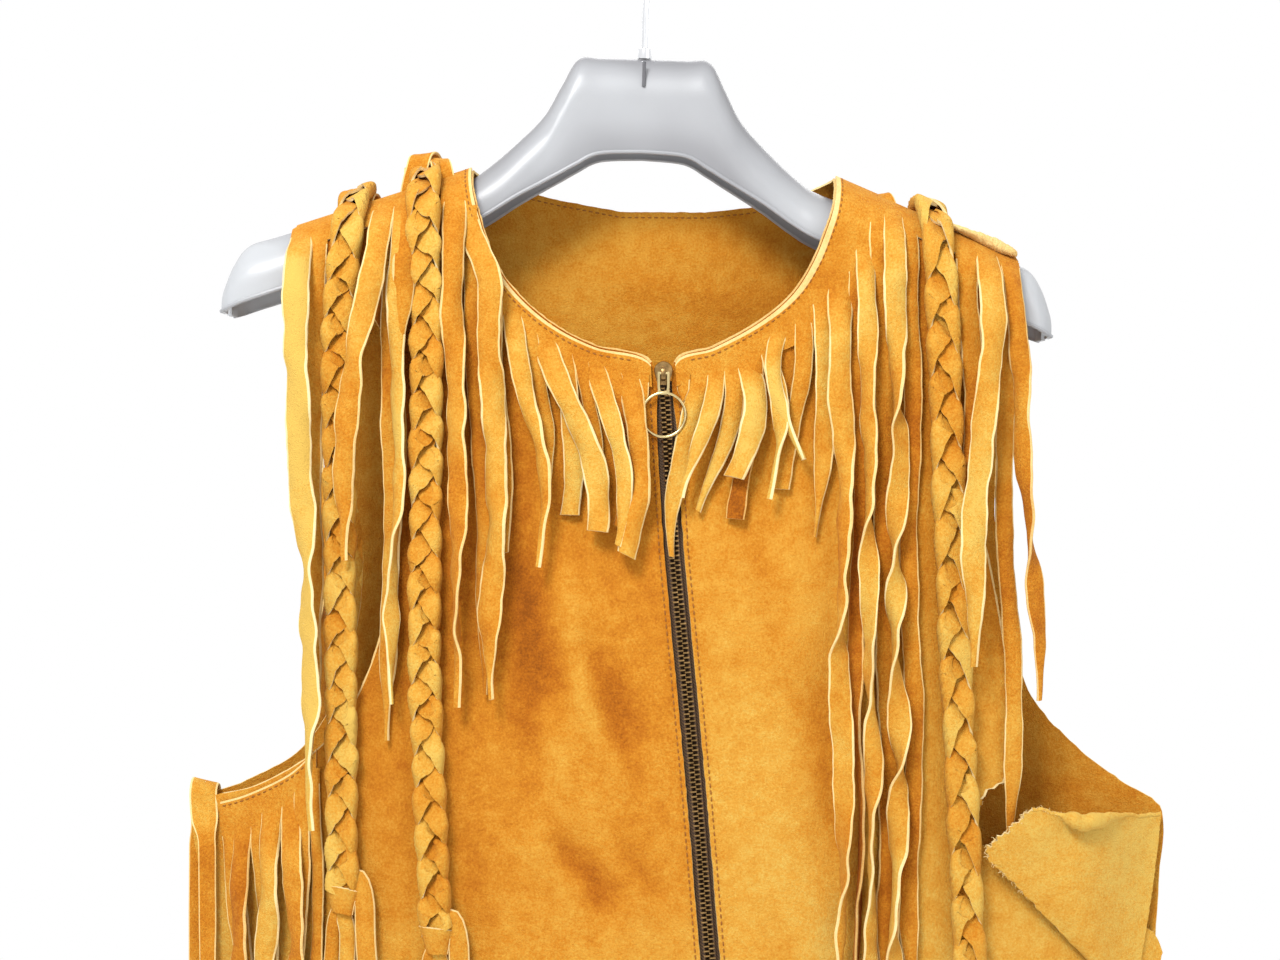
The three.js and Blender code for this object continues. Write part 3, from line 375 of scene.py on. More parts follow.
def swingNode(nodes, links, noise, size):  # a noise of 0 to 1 as a change of up to half the size either way
    return mathNode(nodes, links, "MULTIPLY", mathNode(nodes, links, "SUBTRACT", noise, 0.5), size)


def rampNode(nodes, links, fac, stops):
    ramp = nodes.new("ShaderNodeValToRGB")
    while len(ramp.color_ramp.elements) < len(stops):
        ramp.color_ramp.elements.new(0.5)
    for element, (at, colour) in zip(ramp.color_ramp.elements, stops):
        element.position = at
        element.color = (*colour, 1)
    links.new(fac, ramp.inputs["Fac"])
    return ramp.outputs["Color"]


def bumpNode(nodes, links, height, strength, distance):
    bump = nodes.new("ShaderNodeBump")
    setInputs(bump, {"Strength": strength, "Distance": distance})
    links.new(height, bump.inputs["Height"])
    return bump.outputs["Normal"]


suedeLook = {
    "stops": [(0.0, (0.22, 0.058, 0.003)), (0.25, (0.36, 0.105, 0.005)), (0.5, (0.48, 0.178, 0.012)),
              (0.75, (0.55, 0.27, 0.034)), (1.0, (0.58, 0.37, 0.075))],
    "blotch": (19, 0.20),  # blotches per metre, how much they change the tone
    "patch": (120, 0.26),
    "nap": (850, 0.34),
    "bump": (0.9, 0.0009),
    "sheen": 0.06, "roughness": 0.92,
    "grain": (210, 1500, 0.8),  # coarse and fine grains per metre, the coarse one's share
}


def suedeMaterial(name, look, shift=0.0):
    material, nodes, links, shader, place = newMaterial(name)
    total = mathNode(nodes, links, "ADD", toneNode(nodes), shift)
    for key, detail in (("blotch", 3), ("patch", 4), ("nap", 2)):
        scale, gain = look[key]
        noise = noiseNode(nodes, links, place, scale, detail, 0.6, 0.4 if key == "blotch" else 0.0)
        total = mathNode(nodes, links, "ADD", total, swingNode(nodes, links, noise, 2 * gain))
    links.new(rampNode(nodes, links, total, look["stops"]), shader.inputs["Base Color"])
    setInputs(shader, {"Roughness": look["roughness"], "Specular IOR Level": 0.12, "Sheen Roughness": 0.55,
                       "Sheen Weight": look["sheen"], "Sheen Tint": (1.0, 0.72, 0.36, 1)})
    coarseScale, fineScale, share = look["grain"]
    coarse = noiseNode(nodes, links, place, coarseScale, 3, 0.6)
    fine = noiseNode(nodes, links, place, fineScale, 2, 0.7)
    height = mathNode(nodes, links, "ADD", mathNode(nodes, links, "MULTIPLY", coarse, share), fine)
    links.new(bumpNode(nodes, links, height, *look["bump"]), shader.inputs["Normal"])
    return material


# grain: marks per metre, bump strength, bump distance. The colour drifts with a slower noise.
def plainMaterial(name, colour, roughness, metallic, grain, colourSwing=0.1, specular=0.5):
    material, nodes, links, shader, place = newMaterial(name)
    scale, strength, distance = grain
    slow = noiseNode(nodes, links, place, scale * 0.35)
    low, high = (tuple(c * (1 + s) for c in colour) for s in (-colourSwing, colourSwing))
    links.new(rampNode(nodes, links, slow, [(0.3, low), (0.7, high)]), shader.inputs["Base Color"])
    setInputs(shader, {"Roughness": roughness, "Metallic": metallic, "Specular IOR Level": specular})
    fine = noiseNode(nodes, links, place, scale)
    links.new(bumpNode(nodes, links, fine, strength, distance), shader.inputs["Normal"])
    return material


tapeLook = {"stops": [(0.2, (0.035, 0.017, 0.007)), (0.8, (0.10, 0.052, 0.022))],
            "threads": 420, "bump": (0.5, 0.0003)}


def tapeMaterial():
    material, nodes, links, shader, place = newMaterial("zipTapeWeave")
    wave = nodes.new("ShaderNodeTexWave")
    wave.wave_type, wave.bands_direction = "BANDS", "DIAGONAL"
    setInputs(wave, {"Scale": tapeLook["threads"], "Distortion": 0.6})
    links.new(place, wave.inputs["Vector"])
    weave = wave.outputs["Fac"]
    links.new(rampNode(nodes, links, weave, tapeLook["stops"]), shader.inputs["Base Color"])
    links.new(bumpNode(nodes, links, weave, *tapeLook["bump"]), shader.inputs["Normal"])
    setInputs(shader, {"Roughness": 0.85})
    return material


plasticLook = {"stops": [(0.0, (0.10, 0.10, 0.11)), (0.5, (0.27, 0.27, 0.285)), (1.0, (0.50, 0.515, 0.535))],
               "clouds": 14, "grains": 700, "bump": (0.08, 0.0003)}


def hangerMaterial():
    material, nodes, links, shader, place = newMaterial("smokyPlastic")
    cloud = swingNode(nodes, links, noiseNode(nodes, links, place, plasticLook["clouds"], 2), 0.5)
    total = mathNode(nodes, links, "ADD", toneNode(nodes), cloud)
    links.new(rampNode(nodes, links, total, plasticLook["stops"]), shader.inputs["Base Color"])
    fine = noiseNode(nodes, links, place, plasticLook["grains"], 2)
    links.new(bumpNode(nodes, links, fine, *plasticLook["bump"]), shader.inputs["Normal"])
    setInputs(shader, {"Roughness": 0.36, "IOR": 1.46, "Transmission Weight": 0.3})
    return material


suede = suedeMaterial("tanSuede", suedeLook)
paleSuede = suedeMaterial("paleSuede", suedeLook, shift=0.1)
cutEdge = suedeMaterial("cutEdgeSuede", {**suedeLook, "stops": [
    (0.0, (0.52, 0.29, 0.08)), (0.4, (0.64, 0.44, 0.17)), (1.0, (0.70, 0.58, 0.31))],
    "nap": (900, 0.3), "bump": (0.7, 0.0004), "sheen": 0.05})
threadLook = plainMaterial("tanThread", (0.25, 0.09, 0.016), 0.75, 0.0, (2500, 0.4, 0.0002), specular=0.2)
brass = plainMaterial("agedBrass", (0.27, 0.165, 0.065), 0.36, 1.0, (900, 0.15, 0.0002), 0.35)
paleBrass = plainMaterial("wornBrass", (0.62, 0.49, 0.24), 0.26, 1.0, (700, 0.1, 0.0002), 0.15)
steel = plainMaterial("platedWire", (0.82, 0.83, 0.85), 0.16, 1.0, (500, 0.04, 0.0002), 0.04)
tapeWeave = tapeMaterial()
plastic = hangerMaterial()
print("materials made")


# Fronts
frontLeft = {
    "zipSide": -1, "tone": 0.38, "tear": None, "neckX": [-91, -90.8, -90.2, -88.8, -86.2],
    "armX": [-182, -181.5, -179, -172, -161],
    "rows": table("innerX innerZ outerX outerZ", [
        (-79, -195, -145, -219), (-68, -212, -131, -244), (-50, -228, -124.5, -272),
        (-28, -239.5, -124, -303), (1, -248.5, -127.5, -337), (None, -285, -134, -375),
        (None, -335, -143, -405), (None, -385, -156, -430), (None, -420, -174, -449),
        (None, -447, -202, -465), (None, -478, -236, -478), (None, -515, -233, -515),
        (None, -560, -228, -560), (None, -610, -222, -610), (None, -668, -214, -668),
        (None, -733, -206, -733)])}
frontRight = {
    "zipSide": 1, "tone": 0.52, "tear": (12.0, 16.2), "neckX": [95, 94.8, 94.2, 92.8, 90.2],
    "armX": [188.5, 188.5, 188, 186.5, 184],
    "rows": table("innerX innerZ outerX outerZ", [
        (82, -197, 176, -256), (71, -214, 168, -280), (54, -228, 165, -305), (32, -240, 168, -331),
        (12, -248.5, 174, -358), (None, -285, 180, -390), (None, -335, 184, -420), (None, -385, 188, -452),
        (None, -430, 169, -470), (None, -458, 167, -492), (None, -490, 214, -516), (None, -522, 262, -545),
        (None, -560, 262, -572), (None, -610, 258, -614), (None, -668, 255, -668), (None, -733, 252, -733)])}
edgeStitch = {"fromEdge": 2.3, "dent": 0.35, "dentWidth": 0.9}
frontLook = {"columns": 118, "rows": 190, "rough": 0.12, "ragged": 1.5, "creamDownTo": (-248, -470),
             "paleBelow": (330, 560, 0.28), "deepAbove": (225, 330, 0.2)}  # depths, and how far the tone goes
clouds = {"swing": 0.12, "x": 43, "z": 57, "bend": 0.9, "broadX": 90, "broadZ": 71}


def frontRows(panel):  # an array (rows, 4): inner x and z, outer x and z
    rows = []
    for drop, inner, outer in zip(shoulderDrops, panel["neckX"], panel["armX"]):
        rows.append((inner, shoulderLine(inner) - drop, outer, shoulderLine(outer) - drop))
    for row in panel["rows"]:
        inner = row["innerX"]
        if inner is None:
            inner = zipX(row["innerZ"]) + panel["zipSide"] * zipGap
        rows.append((inner, row["innerZ"], row["outerX"], row["outerZ"]))
    return np.array(rows, float)


def frontGrid(panel, columns, rowsCount):
    rows = frontRows(panel)
    v = np.linspace(0, len(rows) - 1, rowsCount)
    edges = smoothRows(rows, v)[:, None, :]
    u = np.linspace(0, 1, columns)[None, :]
    u = lerp(u, smoothstep(u, 0, 1), 0.15)
    x = lerp(edges[..., 0], edges[..., 2], u)
    z = lerp(edges[..., 1], edges[..., 3], u)
    if panel["tear"]:  # the torn edge is ragged
        first, last = panel["tear"]
        near = smoothstep(v, first - 0.4, first) * (1 - smoothstep(v, last, last + 0.4))
        bite = frontLook["ragged"] * wander(v * 13, 5, (0.9, 2.3, 5.1, 9.7), (1, 0.8, 0.6, 0.4))
        x = x + (near * bite)[:, None] * u**14
        z = z + (near * np.roll(bite, 7))[:, None] * u**14
    grid, out = onCloth(front, x, z, 0, fine=True)
    fromStitch = (np.abs(x - edges[..., 0]) - edgeStitch["fromEdge"]) / edgeStitch["dentWidth"]
    return grid - out * (edgeStitch["dent"] * np.exp(-(fromStitch**2)))[..., None]


def clothTone(grid, seed, base, swing=clouds["swing"]):  # broad changes of tone over a panel
    x, z = grid[..., 0], grid[..., 2]
    phases = np.random.default_rng(seed).uniform(0, 6.28, 4)
    cloud = np.sin(x / clouds["x"] + phases[0] + clouds["bend"] * np.sin(z / clouds["z"] + phases[1]))
    cloud = cloud + np.sin(z / clouds["broadZ"] + x / clouds["broadX"] + phases[2])
    return base + swing * cloud / 2


def creaseShadeTone(side, grid, gain=0.11):  # painted shade and light: darker in the troughs of the creases, paler on their ridges
    return gain * creaseHeight(creases + softCreases, side, grid[..., 0], grid[..., 2])


for key, panel in (("left", frontLeft), ("right", frontRight)):
    grid = frontGrid(panel, frontLook["columns"], frontLook["rows"])
    z = grid[..., 2]
    paleTop, paleFoot, paler = frontLook["paleBelow"]
    deepTop, deepFoot, deeper = frontLook["deepAbove"]
    tone = clothTone(grid, 3 + panel["zipSide"], panel["tone"]) + paler * smoothstep(-z, paleTop, paleFoot)
    # the crease term is painted shade in the troughs and painted light on the ridges
    tone = tone + creaseShadeTone(front, grid) - deeper * (1 - smoothstep(-z, deepTop, deepFoot))
    batch = newBatch()
    plainFrom = [int(np.argmax(z[:, column] < level))
                 for column, level in zip((0, -1), frontLook["creamDownTo"])]
    shellPart(batch, grid, cloth["thickness"], tone, rough=frontLook["rough"], seed=9, edgeCells=(1, 1),
              plainFrom=plainFrom)
    buildMesh("front_shell_" + key, batch, [suede, cutEdge],
                                             replaces=[f"front_panel_{key}_view"])
print("fronts made")


# Back
backTop = table("x z", [
    (-182, -178), (-159, -170.5), (-136, -163), (-113, -155.5), (-91, -148.3), (-88, -149.3), (-83, -150.9),
    (-74, -153.2), (-48, -159.5), (-15, -165.7), (30, -166), (54, -163.5), (78, -158), (88, -154.6),
    (95, -152.5), (118, -162.5), (141, -172.5), (165, -183), (188.5, -193.2)])
backRows = [  # leftX leftZ rightX rightZ and how far the top's dip still shows
    (-187, -214, 194, -228, 0.94), (-183, -238, 191, -252, 0.8), (-175, -264, 187, -277, 0.62),
    (-163, -295, 184, -304, 0.44), (-154, -330, 184, -334, 0.26), (-153, -366, 187, -366, 0.14),
    (-158, -398, 193, -396, 0.06), (-168, -427, 203, -424, 0), (-186, -452, 224, -448, 0),
    (-212, -466, 247, -466, 0), (-236, -478, 266.3, -480, 0), (-233, -515, 265, -515, 0),
    (-228, -560, 262, -560, 0), (-222, -610, 258, -610, 0), (-214, -668, 255, -668, 0),
    (-206, -733, 252, -733, 0)]
backLook = {"columns": 160, "rows": 170, "rough": 0.12, "tone": 0.6, "narrowing": 6}


def backGrid():
    topX, topZ = columnOf(backTop, "x"), columnOf(backTop, "z")
    shoulderRows = []
    for drop in shoulderDrops:
        wider = drop / backLook["narrowing"]
        shoulderRows.append((topX[0] - wider, topZ[0] - drop, topX[-1] + wider, topZ[-1] - drop, 1.0))
    rows = np.array(shoulderRows + backRows, float)
    edges = smoothRows(rows, np.linspace(0, len(rows) - 1, backLook["rows"]))[:, None, :]
    even = np.linspace(0, 1, backLook["columns"] - len(topX) + 2)
    u = np.sort(np.concatenate([even, (topX[1:-1] - topX[0]) / (topX[-1] - topX[0])]))
    rise = np.interp(lerp(topX[0], topX[-1], u), topX, topZ) - lerp(topZ[0], topZ[-1], u)
    x = lerp(edges[..., 0], edges[..., 2], u[None, :])
    z = lerp(edges[..., 1], edges[..., 3], u[None, :]) + edges[..., 4] * rise[None, :]
    return onCloth(back, x, z, 0, fine=True)[0]


grid = backGrid()
batch = newBatch()
shellPart(batch, grid, cloth["thickness"], clothTone(grid, 8, backLook["tone"]) + creaseShadeTone(back, grid),
          rough=backLook["rough"], seed=10)
buildMesh("back_shell", batch, [suede, cutEdge], replaces=["back_panel"])
print("back made")


# Flap torn loose at the underarm
flapRows = [  # leftX leftZ leftLift midX midZ midLift rightX rightZ
    (191, -474, 15, 222, -479, 14, 264.5, -481.5), (180, -484, 14, 217, -494, 14, 262.5, -500),
    (169, -496, 11, 212, -512, 12, 259.5, -522), (184, -512, 9, 219, -533, 9.5, 255.5, -546),
    (202, -531, 6.5, 228, -552, 6.5, 251, -570), (226, -555, 4, 237, -569, 4, 246.5, -584)]
flapLook = {"columns": 70, "rows": 80, "rightLift": 2.2, "lip": 2.4, "wave": 0.8, "ragged": 1.4, "notch": 3.2,
            "rollRadius": 3.3, "rollTurn": 4.4, "rollRows": 14, "rough": 0.1, "tone": 0.86, "fibres": 260}


def flapGrid():
    v = np.linspace(0, len(flapRows) - 1, flapLook["rows"])
    r = smoothRows(np.array(flapRows, float), v)[:, None, :]
    u = np.linspace(0, 1, flapLook["columns"])[None, :]
    leftHalf = u < 0.5
    t = np.where(leftHalf, 2 * u, 2 * u - 1)
    x = np.where(leftHalf, lerp(r[..., 0], r[..., 3], t), lerp(r[..., 3], r[..., 6], t))
    z = np.where(leftHalf, lerp(r[..., 1], r[..., 4], t), lerp(r[..., 4], r[..., 7], t))
    lift = np.where(leftHalf, lerp(r[..., 2], r[..., 5], t),
                    lerp(r[..., 5], flapLook["rightLift"], smoothstep(t, 0, 1)))
    share = v[:, None] / (len(flapRows) - 1)
    lip = np.exp(-((share / 0.05) ** 2)) * np.sin(math.pi * np.clip(u * 1.1, 0, 1)) ** 2
    lift = lift + flapLook["lip"] * lip + flapLook["wave"] * np.sin(u * 9 + share * 5) * np.sin(math.pi * u)
    bite = flapLook["ragged"] * wander(v * 11, 12, (1.1, 2.9, 6.3, 11), (1, 0.8, 0.6, 0.5))[:, None]
    x = x + bite * (1 - u) ** 12
    z = z + np.roll(bite, 5, 0) * (1 - u) ** 12
    notch = np.exp(-(((u - 0.42) / 0.10) ** 2)) * (1 - share) ** 6
    z = z + wander(u * 22, 4) * (1 - share) ** 14 - flapLook["notch"] * notch
    step = np.linspace(0, 1, flapLook["rollRows"] + 1)[:-1]
    turn = lerp(flapLook["rollTurn"], 0, step)[:, None]  # the top edge rolls out and over
    radius = 0.25 + flapLook["rollRadius"] * (smoothstep(u, 0.24, 0.36) * (1 - smoothstep(u, 0.5, 0.78)))
    x = np.concatenate([x[:1] + 0 * turn, x])
    z = np.concatenate([z[:1] + radius * np.sin(turn), z])
    lift = np.concatenate([lift[:1] + radius * (1 - np.cos(turn)), lift])
    return onCloth(front, x, z, lift, fine=True)[0]


# Fine torn fibres that stand out of a line of points
def fuzzAlong(batch, line, seed, count, reach=(0.8, 2.6), radius=0.22):
    rng = np.random.default_rng(seed)
    for at in rng.uniform(0, len(line) - 1.001, count):
        i = int(at)
        root = lerp(line[i], line[i + 1], at - i)
        way = unit(rng.normal(0, 1, 3) + np.array([0, -0.5, -0.2])) * rng.uniform(*reach)
        bend = rng.normal(0, 0.35, 3)
        path = np.stack([root - way * 0.2, root + way * 0.5 + bend, root + way])
        addTube(batch, path, [radius, radius * 0.7, radius * 0.2], 4, look=1, tone=0.6)


grid = flapGrid()
batch = newBatch()
shellPart(batch, grid, cloth["thickness"], clothTone(grid, 2, flapLook["tone"], 0.1), rough=flapLook["rough"],
          seed=11)
buildMesh("flap_shell", batch, [suede, cutEdge],
                                 replaces=["underarm_flap"])
batch = newBatch()
edgeRow = flapLook["rollRows"]
fuzzAlong(batch, np.concatenate([grid[edgeRow:70:2, 0], grid[edgeRow, :26]]), 31, flapLook["fibres"])
rowShare = (frontLook["rows"] - 1) / (len(frontRows(frontRight)) - 1)
tornFrom, tornTo = (int((at + inward) * rowShare) for at, inward in zip(frontRight["tear"], (0.1, -0.1)))
fuzzAlong(batch, frontGrid(frontRight, 40, frontLook["rows"])[tornFrom:tornTo, -1], 32,
          flapLook["fibres"] // 2, reach=(0.6, 1.8))
buildMesh("torn_fibres", batch, [suede, cutEdge])
print("flap made")


# Fringe
strandColumns = "x z length width layer turns drift bow tip tone leave lead"
strandLook = {
    "rootThickness": 0.9, "rootProud": 0.08, "rootTone": 0.45, "plainRoot": 9, "bulge": 0.8, "cup": 1.0,
    "step": 2.6, "loose": 0.45, "sway": 1.4, "swayLength": 170, "wander": 1.5, "liftSwing": 1.2,
    "twistSwing": 0.6, "edgeSwing": 0.12, "toneSwing": 0.17, "chance": 0.12, "cut": 2.2}


def flatOnCloth(side, x, z, lift, width):
    left = onCloth(side, x - width / 2, z, lift)[0]
    right = onCloth(side, x + width / 2, z, lift)[0]
    return (left + right) / 2, unit(right - left)


def strandPart(batch, side, row, seed):
    length, layer = row["length"], row["layer"]
    leave, lead = row.get("leave") or 6, row.get("lead") or 0
    bow, tip, tone = row.get("bow", 0), row.get("tip", 0.35), row.get("tone", 0.5)
    loose = strandLook["loose"] if layer == 0 else 1.0
    drop = np.linspace(0, length, max(14, int(length / strandLook["step"])))
    share = drop / length
    free = smoothstep(drop, 12, 70)
    sway = strandLook["sway"] * np.sin(2 * math.pi * drop / strandLook["swayLength"] + row["x"] / 30)
    sway = (sway + strandLook["wander"] * loose * wander(drop / 24, seed)) * free
    x = row["x"] + row["drift"] * smoothstep(share, 0, 1) + bow * np.sin(math.pi * share) + sway
    x = x + lead * smoothstep(drop, 0, 45)
    rootLift = strip["lift"] + (strip["thickness"] - strandLook["rootThickness"]) / 2
    rootLift = rootLift + strandLook["rootProud"]
    lift = lerp(rootLift, strand["layerLift"][layer], smoothstep(drop, leave, leave + 34))
    lift = lift + strandLook["liftSwing"] * loose * wander(drop / 33, seed + 1) * free
    twist = row["turns"] * math.pi * smoothstep(drop, 30, length)
    twist = twist + strandLook["twistSwing"] * loose * wander(drop / 15, seed + 2) * smoothstep(drop, 8, 50)
    points, level = flatOnCloth(side, x, row["z"] - drop, lift, row["width"])
    width = row["width"] * (1 + strandLook["edgeSwing"] * wander(drop / 8, seed + 3))
    taper = 9 if tip > 0.8 else min(46, 0.45 * length)
    width = width * lerp(1, tip, smoothstep(drop, length - taper, length))
    rise = smoothstep(drop, 3, 18)
    tone = tone + strandLook["toneSwing"] * wander(drop / 24, seed + 4) + 0.05 * layer
    tone = tone + random.uniform(-strandLook["chance"], strandLook["chance"])
    tone = lerp(strandLook["rootTone"], tone, smoothstep(drop, 4, 32))
    cup = strandLook["cup"] * loose * rise * (0.7 + 0.9 * wander(drop / 40, seed + 6)) * row["width"] / 10
    thickness = lerp(strandLook["rootThickness"], strand["thickness"], rise)
    slant = random.uniform(-strandLook["cut"], strandLook["cut"]) * tip
    ribbonPart(batch, points, level, width, thickness, twist, tone, bulge=strandLook["bulge"] * rise,
               slant=slant, cup=cup, plainRows=int(strandLook["plainRoot"] / strandLook["step"]))


def stripPart(batch, side, edgeA, edgeB, count, across=6, creamEdge=0):
    u = np.linspace(0, 1, count)
    a, b = edgeA(u), edgeB(u)  # (n, 2) x and z
    v = np.linspace(0, 1, across)
    if creamEdge:  # a narrow first row of cells shows the cut edge
        v = np.sort(np.append(v, creamEdge))
    x = lerp(a[:, None, 0], b[:, None, 0], v[None, :])
    z = lerp(a[:, None, 1], b[:, None, 1], v[None, :])
    grid = onCloth(side, x, z, strip["lift"], fine=True)[0]
    shellPart(batch, grid, strip["thickness"], strandLook["rootTone"], edgeCells=(1 if creamEdge else 0, 0))


def strapMesh(name, batch, replaced):
    return buildMesh(name, batch, [paleSuede, cutEdge], replaces=[replaced])


def neckEdge(panel, width):
    corner = len(neckStrip["outer"]["left"]) - 1
    rows = frontRows(panel)[:corner + 2]  # one row past the zip's corner, so that the line is the panel's own
    outward = panel["zipSide"]
    (nx, nz), (tx, tz) = leftShoulder if outward < 0 else rightShoulder
    slope = (nz - tz) / abs(tx - nx)

    def edge(u):
        at = np.asarray(u) * corner
        here = smoothRows(rows, at)
        ahead, behind = (smoothRows(rows, np.clip(at + step, 0, corner)) for step in (0.18, -0.18))
        dx, dz = (ahead - behind)[:, :2].T
        length = np.hypot(dx, dz)
        ease = smoothstep(u, 0.35, 0.8)
        sideways = outward * lerp(1, np.abs(dz / length), ease)
        down = -lerp(slope, np.abs(dx / length), ease)
        below = here[:, 1] + down * width - neckStrip["below"]
        return np.stack([here[:, 0] + sideways * width, below], -1)
    return edge


neckStrip = {  # outer: x and z of the strip's far edge, from the shoulder to the zip
    "inset": 0.9, "below": 0.8, "creamEdge": 0.09,
    "outer": {"left": [(-106.5, -154.2), (-106.5, -156.5), (-106.5, -162.3), (-106, -170.5), (-105, -181),
                       (-98, -204), (-84, -224), (-62, -241), (-32, -252.5), (1.0, -261.5)],
              "right": [(119, -163.7), (119, -166), (119, -172), (119, -180), (118.5, -190), (114, -212),
                        (100, -226), (76, -239), (48, -250), (13.5, -261)]}}
neckStrands = {
    "left": (frontLeft, [
        (-99, -160, 262, 11.5, 1, 0.4, 3, 0, 0.3, 0.34),
        (-93.5, -170, 248, 12.5, 1, 0.2, 1, 0, 0.15, 0.62, 0, 14),
        (-90, -186, 230, 9, 0, 0.1, 8, 0, 0.2, 0.3), (-80, -203, 142, 9.5, 0, 0.1, 7, 0, 0.3, 0.42),
        (-71, -216, 136, 10, 1, 0.5, 15, 5, 0.2, 0.5), (-63, -223, 95, 8, 0, 0.1, 10, 4, 0.3, 0.6),
        (-56, -230, 104, 12, 1, 0.1, 27, 7, 0.95, 0.72), (-45, -237, 89, 10.5, 0, 0.1, 3, 4, 0.95, 0.66),
        (-36, -241, 82, 7.5, 0, 0.1, 6, 4, 0.3, 0.42), (-30, -244, 97, 10, 1, 0.3, 12, 8, 0.5, 0.6),
        (-20.5, -247, 85, 9, 0, 0.1, 3, 7, 0.6, 0.4), (-12, -250, 96, 11, 1, 0.1, 0, 6, 0.95, 0.46),
        (-3.4, -255, 18, 6, 0, 0.1, 0, 0, 0.3, 0.5)]),
    "right": (frontRight, [
        (16.8, -254.5, 14, 6.5, 0, 0.1, 0, 0, 0.3, 0.5), (26, -250, 97, 10, 0, 0, -14, -4, 0.3, 0.6, 40),
        (33, -247, 70, 9, 1, 0.5, -17, 3, 0.2, 0.55), (40, -244, 80, 9.5, 0, 0.1, -15, 7, 0.3, 0.6),
        (46, -242, 65, 12, 1, 0.1, -4, 9, 0.95, 0.7), (52, -239, 89, 9.5, 0, 0.1, -8, 3, 0.95, 0.15),
        (58, -236, 82, 9, 1, 0.6, 3, 6, 0.2, 0.6), (68, -227, 71, 8.5, 1, 0.6, 10, -10, 0.2, 0.72),
        (76.6, -221, 92, 9, 0, 0.1, -10, 4, 0.95, 0.4), (86, -211, 126, 10, 0, 0.1, -4, 5, 0.15, 0.55),
        (96, -204, 364, 12, 1, 1.6, 0, 0, 0.3, 0.42), (105, -195, 390, 9.5, 0, 0.6, 0, 0, 0.4, 0.3),
        (109, -184, 409, 10, 1, 3, 2, 0, 0.3, 0.62)])}


def lineThrough(points, drop=0):  # a smooth line through x and z points, drop below them
    def line(u):
        return smoothRows(points, np.asarray(u) * (len(points) - 1)) - np.array([0, drop])
    return line


for key, (panel, rows) in neckStrands.items():
    batch = newBatch()
    stripPart(batch, front, neckEdge(panel, neckStrip["inset"]), lineThrough(neckStrip["outer"][key]), 90,
              creamEdge=neckStrip["creamEdge"])
    for i, row in enumerate(table(strandColumns, rows)):
        strandPart(batch, front, row, 100 + 7 * i + (50 if key == "left" else 0))
    strapMesh("neck_fringe_" + key, batch, f"neck_fringe_{key}_view")

shoulderRoot = {0: 9, 1: 3, 2: 2}  # how far below the shoulder's top the strands of each layer start
shoulderFringe = {  # name: side, strip from and to, strands without their z
    "front_left": (front, -181, -118, [
        (-177, 306, 13, 2, 0.3, 7, 0, 0.3, 0.78), (-168, 266, 9.5, 0, 0.1, -4, 0, 0.3, 0.5),
        (-135, 184, 12, 2, 0.2, -20, -2, 0.25, 0.42), (-130, 270, 9.5, 0, 0.1, -2, 0, 0.2, 0.6),
        (-126, 258, 9, 1, 0.7, -3, 0, 0.2, 0.6), (-124.5, 88, 11, 1, 0, 0, 1, 0.2, 0.3)]),
    "front_right": (front, 119, 187, [
        (117, 408, 11.5, 0, 0, 4, 0, 0.5, 0.34), (123.5, 420, 11.5, 1, 5, 0, 0, 0.4, 0.68),
        (131, 400, 9.5, 0, 0.1, 1, 0, 0.4, 0.34), (160, 196, 11, 0, 0, 5, 0, 0.3, 0.28),
        (171, 214, 12.5, 2, 0.2, -11, 0, 0.25, 0.55), (178, 300, 9, 0, 0.1, 6, 0, 0.3, 0.36),
        (182.5, 226, 10, 1, 1, 13, 0, 0.25, 0.42)]),
    "back_left": (back, -181, -114, [
        (-176, 336, 11, 1, 1, 0, 0, 0.3, 0.5), (-166, 308, 9.5, 0, 0.1, -1, 0, 0.3, 0.4),
        (-136, 358, 10.5, 1, 2, 0, 0, 0.3, 0.55), (-128, 386, 9.5, 0, 0.1, 2, 0, 0.3, 0.35)]),
    "back_right": (back, 118, 187, [
        (182, 328, 10.5, 1, 1, -1, 0, 0.3, 0.5), (172, 346, 9.5, 0, 0.1, 1, 0, 0.3, 0.35),
        (131, 368, 10.5, 1, 2, -1, 0, 0.3, 0.55), (122, 346, 9.5, 0, 0.1, -2, 0, 0.3, 0.4)])}


def belowShoulder(fromX, toX, drop):
    def line(u):
        x = lerp(fromX, toX, u)
        return np.stack([x, shoulderLine(x) - drop], -1)
    return line


for key, (side, fromX, toX, rows) in shoulderFringe.items():
    batch = newBatch()
    top, foot = (belowShoulder(fromX, toX, shoulderDrops[i]) for i in (1, 3))
    stripPart(batch, side, top, foot, 40, across=10)
    for i, (x, *rest) in enumerate(rows):
        row = dict(zip(strandColumns.split(), (x, float(shoulderLine(x)) - shoulderRoot[rest[2]], *rest)))
        strandPart(batch, side, row, 300 + 11 * i + len(key))
    strapMesh("shoulder_fringe_" + key, batch, f"shoulder_fringe_{key}_view")

